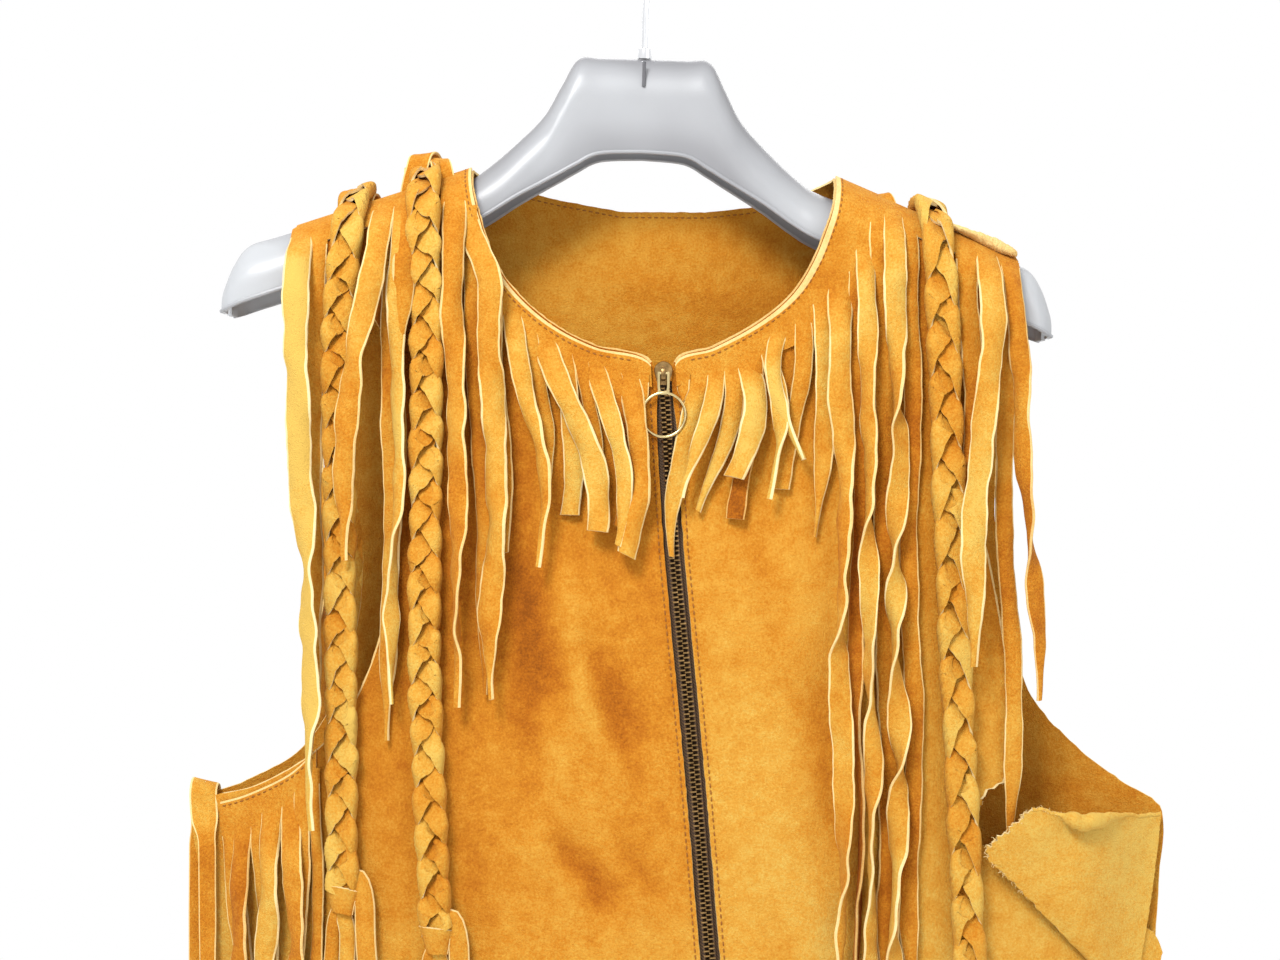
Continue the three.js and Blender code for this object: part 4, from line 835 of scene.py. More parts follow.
underarms = {
    "front_left": (front, [(-221.5, -473.5), (-206, -468.5), (-184, -457.5), (-170, -444.5)], [
        (-216.5, -484, 188, 10.5, 0, 0.1, 6, 4, 0.5, 0.62), (-209, -482, 205, 10.5, 1, 0.3, 2, -4, 0.4, 0.36),
        (-200.5, -478, 196, 11, 0, 0.3, 3, 4, 0.4, 0.5), (-193, -471, 208, 11.5, 1, 0.5, 4, -5, 0.4, 0.56),
        (-184, -467, 200, 11, 1, 0.3, -1, 4, 0.4, 0.4), (-177, -460, 205, 9.5, 0, 0.5, 4, -3, 0.4, 0.5),
        (-171.5, -455, 192, 6.5, 0, 0.1, 2, 2, 0.4, 0.3)]),
    "back_left": (back, [(-222.5, -472.5), (-208, -466.5), (-187, -454.5), (-173, -438)], [
        (-218, -484, 200, 8.5, 0, 0.1, -1), (-210, -480, 190, 8.5, 1, 0.8, -1),
        (-202, -476, 205, 8.5, 0, 0.1, -2), (-191, -470, 195, 9, 1, 1, 0),
        (-181, -463, 200, 8.5, 0, 0.1, 2)]),
    "back_right": (back, [(258, -476.5), (244, -466.5), (225, -451.5), (207, -432)], [
        (253, -486, 200, 8.5, 0, 0.1, 5), (243, -480, 190, 8.5, 1, 0.8, 3), (233, -472, 205, 8.5, 0, 0.1, 2),
        (222, -463, 195, 9, 1, 1, 0), (212, -452, 200, 8.5, 0, 0.1, -2)])}

underarmStrip = {"below": 1, "width": 13, "stitchBelow": 3.4, "creamEdge": 0.08}

for key, (side, edge, rows) in underarms.items():
    batch = newBatch()
    above = lineThrough(edge, underarmStrip["below"])
    below = lineThrough(edge, underarmStrip["below"] + underarmStrip["width"])
    stripPart(batch, side, above, below, 50, creamEdge=underarmStrip["creamEdge"])
    for i, row in enumerate(table(strandColumns, rows)):
        strandPart(batch, side, row, 500 + 13 * i + len(key))
    strapMesh("underarm_fringe_" + key, batch, f"underarm_fringe_{key}_view")
print("fringe made")


# Plaits
# The last two tones are painted shade, where the straps tuck under each other.
plait = {"lift": 7.6, "halfWidth": 9.3, "foldRadius": 1.1, "halfDepth": 3.0, "strapThickness": 1.4,
         "lean": 0.62, "uneven": 0.22, "strapShare": 0.1, "widest": 5.9, "widthSwing": 0.08, "crown": 1.2,
         "tilt": 1.2, "scallop": 0.26, "edgeSwing": 0.06, "step": 0.85, "bendRadius": 29, "tone": 0.7,
         "toneSwing": 0.16, "tuckShade": 0.22, "deepEdgeShade": 0.12}
knot = {"length": 15, "thickness": 1.5, "turns": 1.05, "topWidth": 8.0, "footWidth": 4.7, "topDepth": 4.9,
        "footDepth": 3.5, "flare": 0.25, "height": 13, "top": 1.5, "slope": 1.5, "uneven": 0.5, "tone": 0.56,
        "coreWidth": 5, "coreDepth": 3, "coreTone": 0.35}
plaits = {  # x, how far down a strap comes round again, then each leg: side, shift of its middle, end, tails
    "left_outer": (-151, 56, [
        (front, [(0, 0), (60, -6), (340, -5)], 345, 96),
        (back, [(0, 0), (60, -4), (330, -2)], 330, 100)]),
    "left_inner": (-115.5, 54, [
        (front, [(0, 0), (60, 3), (250, 2), (390, 8)], 376, 90),
        (back, [(0, 0), (60, 14), (300, 18)], 300, 84)]),
    "right": (144.5, 72, [
        (front, [(0, 0), (60, 3), (200, 8), (400, 18)], 412, 84),
        (back, [(0, 0), (60, 14), (330, 12)], 340, 96)])}
tails = table("dx start reach arch lift drift share width turns tone", [  # the first loops out of the side
    (4.5, -13, 7.5, 4.2, 8.4, 4, 1.0, 10.5, 0.35, 0.52), (0.5, -1, 2.5, 0, 6.6, -4, 0.88, 8.5, 1.1, 0.64),
    (-2.5, -1, -2, 0, 4.6, -7, 0.94, 8, 0.5, 0.4)])


def plaitPoint(x, leg, drop, dx, depth):
    side, shift = leg[0], np.array(leg[1], float)
    middle = x + np.interp(drop, shift[:, 0], shift[:, 1])
    slope = shoulderLine(middle + dx) - shoulderLine(x)
    z = shoulderLine(x) - drop + slope * (1 - smoothstep(drop, 16, 70))
    return onCloth(side, middle + dx, z, plait["lift"] + depth)[0]


def legDrop(arc):  # how far below the shoulder a point is that is arc mm round it
    quarter = plait["bendRadius"] * math.pi / 2
    turned = cloth["shoulderRound"] * (1 - np.cos(np.clip(arc, 0, quarter) / plait["bendRadius"]))
    return turned + np.maximum(arc - quarter, 0)


# Three flat straps. Each comes out at the middle, goes to an edge in front, folds over it and goes back
# behind, then does the same at the other edge. turn is how far down it does both.
def plaitStraps(batch, x, turn, legs, seed):
    ends = [leg[2] - cloth["shoulderRound"] + plait["bendRadius"] * math.pi / 2 for leg in legs]
    reach, radius = plait["halfWidth"], plait["foldRadius"]
    base = np.arange(-ends[0] - 4, ends[1] + 4, plait["step"]) * 2 * math.pi / turn
    across = np.array([[-1, -0.93, -0.7, -0.45, -0.2, 0.05, 0.3, 0.55, 0.78, 0.93, 1]])
    for k in range(3):
        phase = base + 2 * math.pi * k / 3
        uneven = plait["uneven"] * wander(base * 1.7, seed + k)
        flatX = 2 * reach / math.pi * phase
        flatZ = turn / (2 * math.pi) * (base - plait["lean"] / 2 * np.cos(2 * phase) + uneven)
        alongX, alongZ = np.gradient(flatX), np.gradient(flatZ)
        size = np.hypot(alongX, alongZ)
        half = min(turn * plait["strapShare"], plait["widest"])
        half = half * (1 + plait["widthSwing"] * wander(base * 2.3, seed + 30 + k))
        offset = half[:, None] * across
        pointX = flatX[:, None] - offset * (alongZ / size)[:, None]
        arc = flatZ[:, None] + offset * (alongX / size)[:, None]
        run = np.floor(phase / math.pi).astype(int)
        beyond = reach - (pointX - 2 * reach * run[:, None])  # below nothing past the fold
        rounded = np.sqrt(beyond**2 + radius**2)
        edgeSide = np.where(run % 2 == 0, 1.0, -1.0)[:, None]
        hump = np.abs(np.sin(phase))[:, None] ** 0.8
        wider = (1 + plait["edgeSwing"] * wander(base, seed + 8))[:, None]
        dx = edgeSide * (reach * (1 - plait["scallop"] * across**2 * hump) - rounded) * wider
        high = plait["halfDepth"] + plait["crown"] * (1 - across**2) - plait["tilt"] * across
        depth = -hump * high * beyond / rounded
        points = np.zeros((*arc.shape, 3))
        for leg, part in ((legs[0], arc < 0), (legs[1], arc >= 0)):
            points[part] = plaitPoint(x, leg, legDrop(np.abs(arc[part])), dx[part], depth[part])
        swing = np.random.default_rng(seed + 50 + k).uniform(-1, 1, 200)
        # painted shade: each strap is darker where it tucks under the others at the middle, and along its
        # deeper edge, which lies under the next strap
        tone = plait["tone"] + plait["toneSwing"] * swing[run % 200] - plait["tuckShade"] * (1 - hump[:, 0])
        tone = tone[:, None] - plait["deepEdgeShade"] * np.clip(across, 0, 1) ** 2
        shellPart(batch, points, plait["strapThickness"], tone)


def knotPart(batch, x, leg, seed):
    end = leg[2]
    phi = np.linspace(0, 2 * math.pi * knot["turns"], 44)[:, None]
    share = np.linspace(0, 1, 11)[None, :]
    flare = knot["flare"] * np.exp(-((share / 0.12) ** 2))
    dx = (lerp(knot["topWidth"], knot["footWidth"], share**0.8) + flare) * np.cos(phi) + 0.25 * phi / math.pi
    depth = (lerp(knot["topDepth"], knot["footDepth"], share) + flare) * np.sin(phi)
    drop = end + knot["top"] + knot["height"] * share
    drop = drop + knot["slope"] * np.cos(phi + 0.4) * (1 - 0.5 * share) + knot["uneven"] * wander(phi, seed)
    band = plaitPoint(x, leg, drop, dx, depth)
    # painted light: the band is 0.05 paler on its outer face and as much darker against the cloth; it also
    # darkens towards its foot
    tone = knot["tone"] - 0.14 * share + 0.05 * np.sin(phi)
    shellPart(batch, band, knot["thickness"], tone, rough=0.1, seed=seed)
    down = end + np.linspace(-3, knot["length"] - 1, 9)[:, None]
    size = np.sin(np.linspace(0.35, math.pi - 0.5, 9))[:, None] ** 0.6
    ring = np.linspace(0, 2 * math.pi, 12, endpoint=False)
    wide, deep = knot["coreWidth"] * size * np.cos(ring), knot["coreDepth"] * size * np.sin(ring)
    addRings(batch, plaitPoint(x, leg, down, wide, deep), 0, knot["coreTone"])  # what the band is tied round


softStrap = {"bulge": 0.6, "cup": 0.8}


def tailParts(batch, x, leg, seed):
    side, _, end, tailLength = leg
    for i, tail in enumerate(tails):
        root = plaitPoint(x, leg, end + knot["length"] - 3 + tail["start"], 0.0, 0.0)
        length = tail["share"] * tailLength - tail["start"]
        drop = np.linspace(0, length, max(14, int(length / 2.2)))
        share = drop / length
        at = root[0] + tail["dx"] + tail["reach"] * smoothstep(drop, 0, 15)
        at = at + 1.6 * wander(share * 4, seed + i) * share + tail["drift"] * smoothstep(share, 0.1, 1)
        z = root[2] - drop + 2.2 * tail["arch"] * np.sin(math.pi * np.clip(drop / 15, 0, 1))
        height = lerp(plait["lift"], tail["lift"], smoothstep(share, 0, 0.25))
        height = height + 0.7 * wander(share * 3, seed + i + 5) * share
        points, _ = flatOnCloth(side, at, z, height, tail["width"])
        level = unit(np.cross(np.gradient(points, axis=0), [0, 1.0, 0]))
        width = tail["width"] * smoothstep(share, -0.1, 0.08) * lerp(1, 0.45, smoothstep(share, 0.88, 1))
        twist = tail["turns"] * smoothstep(drop, 12, length) + 0.35 * wander(share * 5, seed + i + 8) * share
        ribbonPart(batch, points, level, width, strand["thickness"], twist, tail["tone"], **softStrap)


bentStraps = {  # straps bent over a plait: x, width and slope in x, then points of y and z, in front first
    "left_inner": [
        (-117, 12, 17, [(-11.5, -170), (-11.8, -160), (-10.8, -150), (-7.5, -142.5), (0, -139.5), (7, -142.5),
                        (10, -150), (10.5, -160)]),
        (-109, 11, -15, [(-12.6, -172), (-13, -162), (-12, -152), (-8.5, -145), (0, -142), (7.5, -145),
                         (10.6, -154), (10.8, -162)]),
        (-122, 9, -9, [(-13.2, -176), (-12.4, -166), (-10.6, -157), (-7, -149.5), (0, -147), (7, -149.5),
                       (10, -158)])],
    "left_outer": [
        (-146, 10, 10, [(-11.5, -187), (-12, -180), (-10.4, -170), (-6.8, -163.5), (0, -161), (7, -164),
                        (10, -171), (10.5, -178)])],
    "right": [
        (121, 10, -11, [(-11.5, -187), (-12, -180), (-10.4, -170), (-6.8, -163), (0, -160.5), (7, -163.5),
                        (10, -171), (10.5, -178)])]}


def bentStrap(batch, x, width, slope, path, seed, count=44):
    path = smoothRows(path, np.linspace(0, len(path) - 1, count))
    row = np.arange(count)
    across = x + slope * np.linspace(-0.5, 0.5, count) + 0.8 * wander(row / 9, seed)
    points = np.stack([across, path[:, 0], path[:, 1]], -1)
    width = width * (1 + 0.1 * wander(row / 7, seed)) * (0.75 + 0.25 * np.sin(np.linspace(0, math.pi, count)))
    twist, tone = 0.25 * wander(row / 8, seed + 1), 0.45 + 0.15 * wander(row / 12, seed + 2)
    levelRibbon(batch, points, width, strand["thickness"], twist, tone, **softStrap)


for n, (key, (x, turn, legs)) in enumerate(plaits.items()):
    batch = newBatch()
    plaitStraps(batch, x, turn, legs, 40 * n + 3)
    for i, strap in enumerate(bentStraps.get(key, [])):
        bentStrap(batch, *strap, 70 + 5 * i)
    for leg in legs:
        knotPart(batch, x, leg, 40 * n + leg[0] + 3)
        tailParts(batch, x, leg, 60 * n + leg[0] + 5)
    strapMesh("plait_" + key + "_straps", batch, "plait_" + key)
print("plaits made")


# Strap over the underarm seam, and the rolled edge on the shoulder
tie = {"x": -231, "top": -465.2, "bend": -471, "foot": -600, "reach": 6.5, "lift": 7.5, "width": 9.0,
       "topWider": 5.0, "tone": 0.42, "topLight": 0.16}
roll = {"from": 150, "to": 187, "radius": 2.7, "depthShare": 1.7, "below": 5, "lift": 3.3, "rings": 90,
        "sides": 20, "tone": 0.35}


def underarmTie():
    z = np.linspace(tie["foot"], tie["bend"], 46)
    spread = smoothstep(-z, 470, 500)
    legs = []
    for side, drift in ((front, 3), (back, -6)):
        x = tie["x"] + drift * spread
        held = onCloth(side, np.clip(x, -231, -226), z, tie["lift"])[0][:, 1]
        legs.append(np.stack([x, lerp(side * tie["reach"], held, spread), z], -1))
    bend = np.linspace(0, math.pi, 9)[1:-1]
    overZ = tie["bend"] + (tie["top"] - tie["bend"]) * np.sin(bend)
    over = np.stack([np.full(7, tie["x"]), -tie["reach"] * np.cos(bend), overZ], -1)
    points = np.concatenate([legs[0], over, legs[1][::-1]])
    z = points[:, 2]
    width = tie["width"] * lerp(0.45, 1, smoothstep(z, tie["foot"], tie["foot"] + 10))
    width = width + tie["topWider"] * smoothstep(z, -494, -482)
    # painted light: the strap is paler at its top, where it bends over the seam
    tone = tie["tone"] + tie["topLight"] * smoothstep(z, -500, -478) + 0.06 * wander(z / 15, 5)
    twist = 0.3 * wander(np.arange(len(points)) / 9, 6)
    batch = newBatch()
    levelRibbon(batch, points, width, strand["thickness"], twist, tone, bulge=0.6, cup=0.6)
    strapMesh("underarm_strap", batch, "underarm_tie")


def shoulderRoll():
    share = np.linspace(0, 1, roll["rings"])
    x = lerp(roll["from"], roll["to"], share)
    size = 0.75 + 0.35 * smoothstep(share, 0.2, 0.8)
    size = roll["radius"] * size * (1 - 0.5 * np.abs(2 * share - 1) ** 8)
    centre = onCloth(front, x, shoulderLine(x) - roll["below"], strip["lift"] + roll["lift"])[0]
    angle = np.linspace(0, 2 * math.pi, roll["sides"], endpoint=False)
    lump = 1 + 0.16 * np.sin(2 * angle[None, :] + 7 * share[:, None]) + 0.1 * wander(share * 30, 3)[:, None]
    lump = lump + 0.05 * random.normal(0, 1, lump.shape)
    around = np.stack([0 * angle, roll["depthShare"] * np.cos(angle), np.sin(angle)], -1)
    batch = newBatch()
    addRings(batch, centre[:, None] + (size[:, None] * lump)[..., None] * around, 1, roll["tone"], (0, 0))
    strapMesh("shoulder_rolled_edge", batch, "shoulder_roll")


underarmTie()
shoulderRoll()
print("strap and rolled edge made")


# Zip
zipLook = {  # tape: half width, thickness, lift; tooth: width, height, depth
    "top": -258, "bottom": -729, "tape": (13, 0.8, -2.1), "pitch": 2.45, "tooth": (3.05, 1.25, 2.3),
    "toothOffset": 1.35, "headSize": 0.82, "cordRadius": 0.62, "cordOffset": 2.6,
    "pivot": (6.758, -33.01, -254.5)}
slider = {"halfWidth": 4.75, "halfFoot": 2.9, "foot": -5.75, "back": 3.05, "front": 1.35}
pull = {"ringRadius": 11.1, "ringWire": 0.8, "ringDrop": 21, "pin": 2.8, "pinWire": 0.72}


def zipFrame(z):  # points on the cloth at the zip, with directions along, across and out
    points, out = onCloth(front, zipX(z), z)
    ahead = onCloth(front, zipX(z - 1), z - 1)[0]
    alongZip = unit(ahead - points)
    across = unit(np.cross(out, alongZip))
    across = across * np.sign(across[:, :1])
    return points, alongZip, across, out


def zipTape():
    halfWidth, thickness, lift = zipLook["tape"]
    z = np.linspace(zipLook["top"], zipLook["bottom"], 160)[:, None]
    x = zipX(z) + np.linspace(-halfWidth, halfWidth, 17)[None, :]
    grid = onCloth(front, x, z, lift)[0]
    batch = newBatch()
    shellPart(batch, grid, thickness, 0.5)
    buildMesh("zip_tape_woven", batch, [tapeWeave, tapeWeave],
                               replaces=["zip_tape"])


def zipTeeth():
    width, height, depth = zipLook["tooth"]
    count = int((zipLook["top"] - 3 - zipLook["bottom"]) / zipLook["pitch"] * 2)
    z = zipLook["top"] - 4 - np.arange(count) * zipLook["pitch"] / 2
    points, alongZip, across, out = zipFrame(z)
    side = np.where(np.arange(count) % 2 == 0, -1.0, 1.0)
    centre = points + across * (side * zipLook["toothOffset"])[:, None] + out * 0.3
    levels = [(-1, 1.0), (0.55, 1.0), (1, 0.62)]  # how far out, and how large
    corners = [(-1, -1), (1, -1), (1, 1), (-1, 1)]
    ring = []
    for level, size in levels:
        for a, b in corners:
            headSize = zipLook["headSize"] if a < 0 else 1.0
            ring.append(centre + across * (side * a * width / 2 * size)[:, None]
                        + alongZip * (b * height / 2 * size * headSize) + out * (level * depth / 2))
    points = np.stack(ring, 1).reshape(-1, 3)
    sidesOf = gridFaces(3, 4, wrapColumns=True)
    caps = np.array([[3, 2, 1, 0], [8, 9, 10, 11]])
    base = np.concatenate([sidesOf, caps])
    faces = (base[None] + (np.arange(count) * 12)[:, None, None]).reshape(-1, 4)
    batch = newBatch()
    addPart(batch, points, faces, 0, 0.5)
    for offset in (-zipLook["cordOffset"], zipLook["cordOffset"]):  # the cord inside each row of teeth
        z = np.linspace(zipLook["top"] - 2, zipLook["bottom"] + 1, 150)
        at, _, crossway, outward = zipFrame(z)
        addTube(batch, at + crossway * offset + outward * 0.1, zipLook["cordRadius"], 8, look=1)
    buildMesh("zip_teeth", batch, [brass, tapeWeave],
                                replaces=["zip_chain"])


def platePart(batch, outline, y0, y1):  # outline (n, 2) x and z, closed; from y0 back to y1 front
    centre = outline.mean(0)
    levels = [(y0, 0.94), (lerp(y0, y1, 0.2), 1.0), (lerp(y0, y1, 0.75), 1.0), (y1, 0.9)]
    rings = []
    for y, size in levels:
        shape = centre + (outline - centre) * size
        rings.append(np.stack([shape[:, 0], np.full(len(outline), y), shape[:, 1]], -1))
    addRings(batch, np.array(rings), endLooks=(0, 0))


def zipSliderAndPull():
    pivot = np.array(zipLook["pivot"])
    batch = newBatch()
    angle = np.linspace(0, math.pi, 18)
    top = np.stack([slider["halfWidth"] * np.cos(angle), 1.38 + slider["halfWidth"] * np.sin(angle)], -1)
    foot = [(-slider["halfFoot"], slider["foot"]), (slider["halfFoot"], slider["foot"])]
    platePart(batch, np.concatenate([foot, top]), slider["back"], slider["front"])
    bridge = [(0, 1.4, 2.75), (0, 0.2, 2.85), (0, -1.1, 2.2), (0, -1.6, 0.8), (0, -1.6, -1.2),
              (0, -1.1, -2.6), (0, 0.2, -3.2), (0, 1.4, -3.3)]
    metal = {"bulge": 0.1, "looks": (0, 0)}
    levelRibbon(batch, smoothRows(bridge, np.linspace(0, len(bridge) - 1, 30)), 2.2, 0.9, **metal)
    batch["points"] = [p + pivot for p in batch["points"]]
    buildMesh("zip_slider_crown", batch, [brass], replaces=["zip_slider"])
    batch = newBatch()
    angle = np.linspace(0, 2 * math.pi, 72, endpoint=False)
    radius = pull["ringRadius"]
    ring = np.stack([radius * np.sin(angle), 0 * angle, radius * np.cos(angle) - pull["ringDrop"]], -1)
    addTube(batch, ring, pull["ringWire"], 12, closed=True)
    addTube(batch, [(x, 0, 0) for x in (-pull["pin"], -1, 1, pull["pin"])], pull["pinWire"], 10)
    for end in (-1, 1):
        prong = [(end * 2.4, 0, 0.8), (end * 2.4, 0, -2), (end * 2.4, 0, -7), (end * 1.9, 0, -9.8)]
        levelRibbon(batch, smoothRows(prong, np.linspace(0, 3, 14)), 1.35, 1.25, **metal)
    foot = [(-3, 0, -9.5), (-1, 0, -9.9), (1, 0, -9.9), (3, 0, -9.5)]
    levelRibbon(batch, smoothRows(foot, np.linspace(0, 3, 10)), 2.0, 1.25, level=(0, 0, 1.0), **metal)
    batch["points"] = [p + pivot for p in batch["points"]]
    buildMesh("zip_ring_pull", batch, [paleBrass], body="pull", replaces=["zip_pull"])


zipTape()
zipTeeth()
zipSliderAndPull()
print("zip made")


# Stitching
stitch = {"length": 2.5, "gap": 1.0, "radius": 0.34}


# Short thread bars along a line of points that lies on the surface, with directions out of it
def stitchesAlong(batch, points, outs):
    steps = np.linalg.norm(np.diff(points, axis=0), axis=1)
    run = np.concatenate([[0], np.cumsum(steps)])
    starts = np.arange(0.6, run[-1] - stitch["length"], stitch["length"] + stitch["gap"])

    def at(s, values):
        return np.stack([np.interp(s, run, values[:, i]) for i in range(3)], -1)

    shape = [(0, 0.25, -0.3), (0.18, 0.9, 0.15), (0.5, 1.0, 0.3), (0.82, 0.9, 0.15), (1, 0.25, -0.3)]
    a, b = at(starts, points), at(starts + stitch["length"], points)
    line, out = unit(b - a), unit(at(starts, outs))
    across = np.cross(line, out)
    angle = np.linspace(0, 2 * math.pi, 6, endpoint=False)[:, None]
    around = across[:, None] * np.cos(angle) + out[:, None] * np.sin(angle)
    rings = []
    for share, size, height in shape:
        middle = lerp(a, b, share) + out * height
        rings.append(middle[:, None] + size * stitch["radius"] * around)
    rings = np.stack(rings, 1)
    base = gridFaces(len(shape), 6, wrapColumns=True)
    faces = (base[None] + (np.arange(len(starts)) * len(shape) * 6)[:, None, None]).reshape(-1, 4)
    addPart(batch, rings.reshape(-1, 3), faces, 0)


def stitchesOn(batch, side, x, z, lift):
    points, out = onCloth(side, x, z, lift, fine=True)
    stitchesAlong(batch, points, out * np.sign(lift))


def stitchUnderarm(batch, side, edge):
    line = smoothRows(edge, np.linspace(0.05, len(edge) - 1.05, 60))
    stitchesOn(batch, side, line[:, 0], line[:, 1] - underarmStrip["stitchBelow"], onStrip)


onStrip = strip["lift"] + strip["thickness"] / 2
for key, panel in (("left", frontLeft), ("right", frontRight)):
    batch = newBatch()
    z = np.linspace(-262, -731, 300)
    stitchesOn(batch, front, zipX(z) + panel["zipSide"] * (zipGap + edgeStitch["fromEdge"]), z,
               cloth["thickness"] / 2 - 0.1)
    edge = neckEdge(panel, neckStrip["inset"] + 3.1)(np.linspace(0.03, 0.97, 120))
    stitchesOn(batch, front, edge[:, 0], edge[:, 1], onStrip)
    if key == "left":
        stitchUnderarm(batch, front, underarms["front_left"][1])
    buildMesh("stitching_front_" + key, batch, [threadLook])
batch = newBatch()
for key in ("back_left", "back_right"):
    stitchUnderarm(batch, back, underarms[key][1])
topX = np.linspace(-86, 90, 160)
topZ = np.interp(topX, columnOf(backTop, "x"), columnOf(backTop, "z")) - 3
for lift in (cloth["thickness"] / 2, -cloth["thickness"] / 2):
    stitchesOn(batch, back, topX, topZ, lift)
buildMesh("stitching_back", batch, [threadLook])
print("stitching made")


# Hanger
hangerRows = np.array([  # x top bottom halfDepth, in the hanger's own level frame
    (0, -90, -140, 13), (22, -90, -141.5, 13.5), (34, -90.6, -147.5, 14), (42.4, -105, -152.5, 14.5),
    (51, -121, -157.5, 15), (64.5, -135.5, -165.5, 16.5), (80, -149.5, -176, 18), (93, -157.5, -183, 20),
    (130, -169.5, -198, 22.5), (160, -179, -209, 24.5), (187, -188, -219, 26.5), (201, -193, -224, 26),
    (208, -202, -227, 23.5), (212.5, -214, -229, 18)], float)
# The tones paint light and shade on the smoky plastic: paler arms, tips and upper walls, and a darker top
# ridge.
hangerLook = {"tilt": 1.75, "wall": 2.2, "bead": 1.1, "beadTone": 0.75, "rounding": 22, "groove": 0.9,
              "middleTone": 0.56, "armLight": 0.26, "tipLight": 0.2, "ridgeShade": 0.5, "upperLight": 0.2}
hook = {"radius": 20.8, "wire": 1.8, "middle": -19, "from": 200, "to": -8}


def tilted(points):
    a = math.radians(hangerLook["tilt"])
    x, y, z = points[..., 0], points[..., 1], points[..., 2]
    return np.stack([x * math.cos(a) + z * math.sin(a), y, -x * math.sin(a) + z * math.cos(a)], -1)


def hangerBody():
    half = smoothRows(hangerRows, np.linspace(0, len(hangerRows) - 1, 92))
    half = np.concatenate([half, [(213.3, -217.5, -229.2, 12), (213.6, -221.5, -229.2, 5)]])
    rows = np.concatenate([half[:0:-1] * np.array([-1, 1, 1, 1]), half])
    x, top, bottom, depth = (rows[:, i][:, None] for i in range(4))
    rounding = np.minimum(hangerLook["rounding"], 0.8 * (top - bottom))
    angle = np.linspace(-math.pi / 2, math.pi / 2, 25)[None, :]
    y = depth * np.sin(angle)
    z = top - rounding * (1 - np.cos(angle))
    wallShare = np.linspace(1, 0, 6)[None, :-1]
    wallZ = lerp(top - rounding, bottom, wallShare)
    flat = 0 * wallZ
    frontWall = np.stack([x + flat, flat - depth, wallZ], -1)
    backWall = np.stack([x + flat, flat + depth, wallZ], -1)[:, ::-1]
    over = np.stack([x + 0 * y, y, z], -1)
    grid = np.concatenate([frontWall, over, backWall], 1)
    wall = hangerLook["wall"]
    normal = unit(np.cross(np.gradient(grid, axis=1), np.gradient(grid, axis=0)))
    middle = np.stack([x + 0 * grid[..., 0], 0 * grid[..., 1], bottom + 0 * grid[..., 2]], -1)
    sign = np.sign(((grid - middle) * normal).sum(-1, keepdims=True).mean())
    batch = newBatch()
    near = np.abs(rows[:, 0])[:, None]
    # painted light: paler towards the arms and tips and on the upper walls; painted shade along the top ridge
    tone = hangerLook["middleTone"] + hangerLook["armLight"] * smoothstep(near, 50, 130)
    tone = tone + hangerLook["tipLight"] * smoothstep(near, 175, 205)
    ridge = np.concatenate([flat, np.cos(angle + 0 * y) ** 4, flat], 1)
    low = smoothstep(wallShare, 0.3, 1) + flat
    lower = np.concatenate([low, 0 * y, low[:, ::-1]], 1)
    tone = tone - hangerLook["ridgeShade"] * ridge + hangerLook["upperLight"] * (1 - lower)
    shellPart(batch, tilted(grid - normal * sign * wall / 2), wall, tone, looks=(0, 0))
    for wallSide in (-1, 1):
        line = np.stack([rows[:, 0], wallSide * (rows[:, 3] - 0.2), rows[:, 2] + 0.4], -1)
        addTube(batch, tilted(line[2:-2]), hangerLook["bead"], 8, tone=hangerLook["beadTone"])
    # painted shade: a dark tube stands for the shade in the groove below the hook
    groove = np.stack([np.zeros(16), np.full(16, -13.25), np.linspace(-93.5, -106, 16)], -1)
    addTube(batch, tilted(groove), hangerLook["groove"], 8, tone=0.1)
    buildMesh("hanger_shell", batch, [plastic], sharpAngle=40,
              replaces=["hanger_body"])


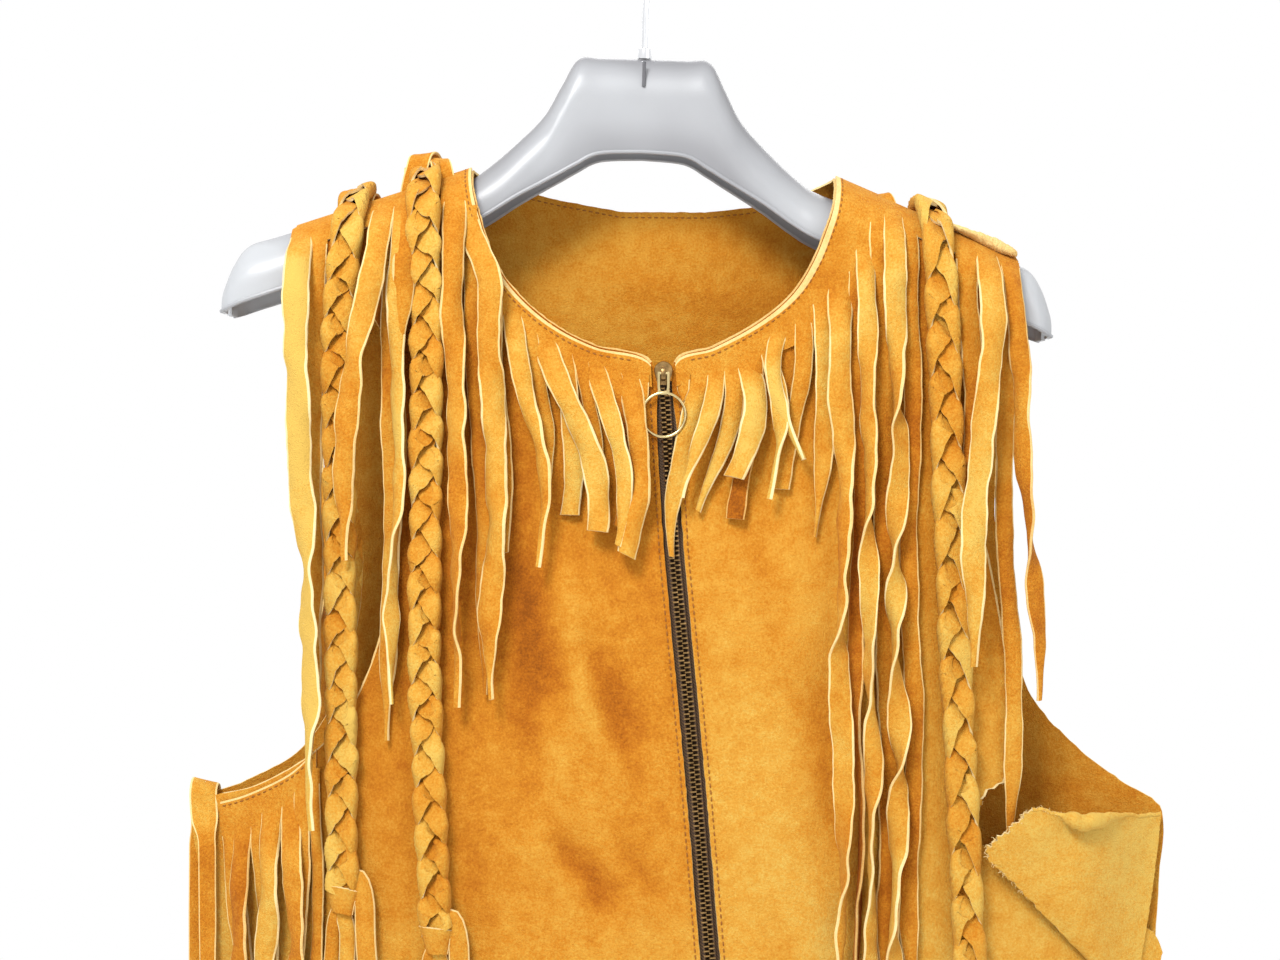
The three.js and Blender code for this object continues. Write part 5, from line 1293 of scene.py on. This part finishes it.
def hangerHook():
    angle = np.radians(np.linspace(hook["from"], hook["to"], 50))
    radius = hook["radius"]
    bend = np.stack([radius * np.cos(angle), 0 * angle, radius * np.sin(angle) + hook["middle"]], -1)
    neck = smoothRows([(20.6, 0, -21.9), (15.5, 0, -34), (6.5, 0, -44), (1.2, 0, -54), (0, 0, -64),
                       (0, 0, -76), (0, 0, -89.8)], np.linspace(0.2, 6, 40))
    batch = newBatch()
    addTube(batch, tilted(np.concatenate([bend, neck])), hook["wire"], 14)
    collar = np.array([(0, 0, -84.0), (0, 0, -84.6), (0, 0, -89.0), (0, 0, -89.8)])
    addTube(batch, tilted(collar), [2.2, 3.4, 3.8, 3.6], 20)
    buildMesh("hanger_wire_hook", batch, [steel], replaces=["hanger_hook"])


hangerBody()
hangerHook()
print("hanger made")


# Floor, light and camera
studio = {
    "camera": (-5.1, -1150, -308.4), "lens": 62.2,
    "world": 1.0, "exposure": 0.0, "floor": -0.95, "floorRadius": 1.5, "aim": (0, 0, -0.35),
    "lights": [  # place, size and watts; all aim at the chest
        ((-0.5, -1.3, 0.8), 0.5, 36), ((1.3, -1.2, 0.1), 1.2, 5), ((0.1, 1.3, 0.7), 1.2, 10)]}


def aimed(place, target):
    return (Vector(target) - Vector(place)).to_track_quat("-Z", "Y").to_euler()


def studioSet():
    scene = bpy.context.scene
    scene.view_settings.view_transform = "Standard"
    scene.view_settings.exposure = studio["exposure"]
    world = bpy.data.worlds.new("paleRoom")
    world.use_nodes = True
    setInputs(world.node_tree.nodes["Background"], {"Color": (1, 1, 1, 1), "Strength": studio["world"]})
    scene.world = world
    mesh = bpy.data.meshes.new("floor")
    rim = [(studio["floorRadius"] * math.cos(a), studio["floorRadius"] * math.sin(a), studio["floor"])
           for a in np.linspace(0, 2 * math.pi, 96, endpoint=False)]
    mesh.from_pydata(rim, [], [tuple(range(len(rim)))])
    mesh.materials.append(plainMaterial("paleFloor", (0.82, 0.82, 0.81), 0.7, 0.0, (60, 0.05, 0.001), 0.015))
    floor = bpy.data.objects.new("floor", mesh)
    scene.collection.objects.link(floor)
    for i, (place, width, power) in enumerate(studio["lights"]):
        light = bpy.data.lights.new(f"softbox{i}", "AREA")
        light.shape, light.size, light.energy = "SQUARE", width, power
        lamp = bpy.data.objects.new(f"softbox{i}", light)
        lamp.location, lamp.rotation_euler = place, aimed(place, studio["aim"])
        scene.collection.objects.link(lamp)
    camera = bpy.data.cameras.new("camera")
    camera.lens, camera.sensor_width, camera.clip_start = studio["lens"], 36, 0.05
    eye = bpy.data.objects.new("camera", camera)
    eye.location = tuple(value * mm for value in studio["camera"])
    eye.rotation_euler = (math.pi / 2, 0, 0)
    scene.collection.objects.link(eye)
    scene.camera = eye


studioSet()
print("studio made")
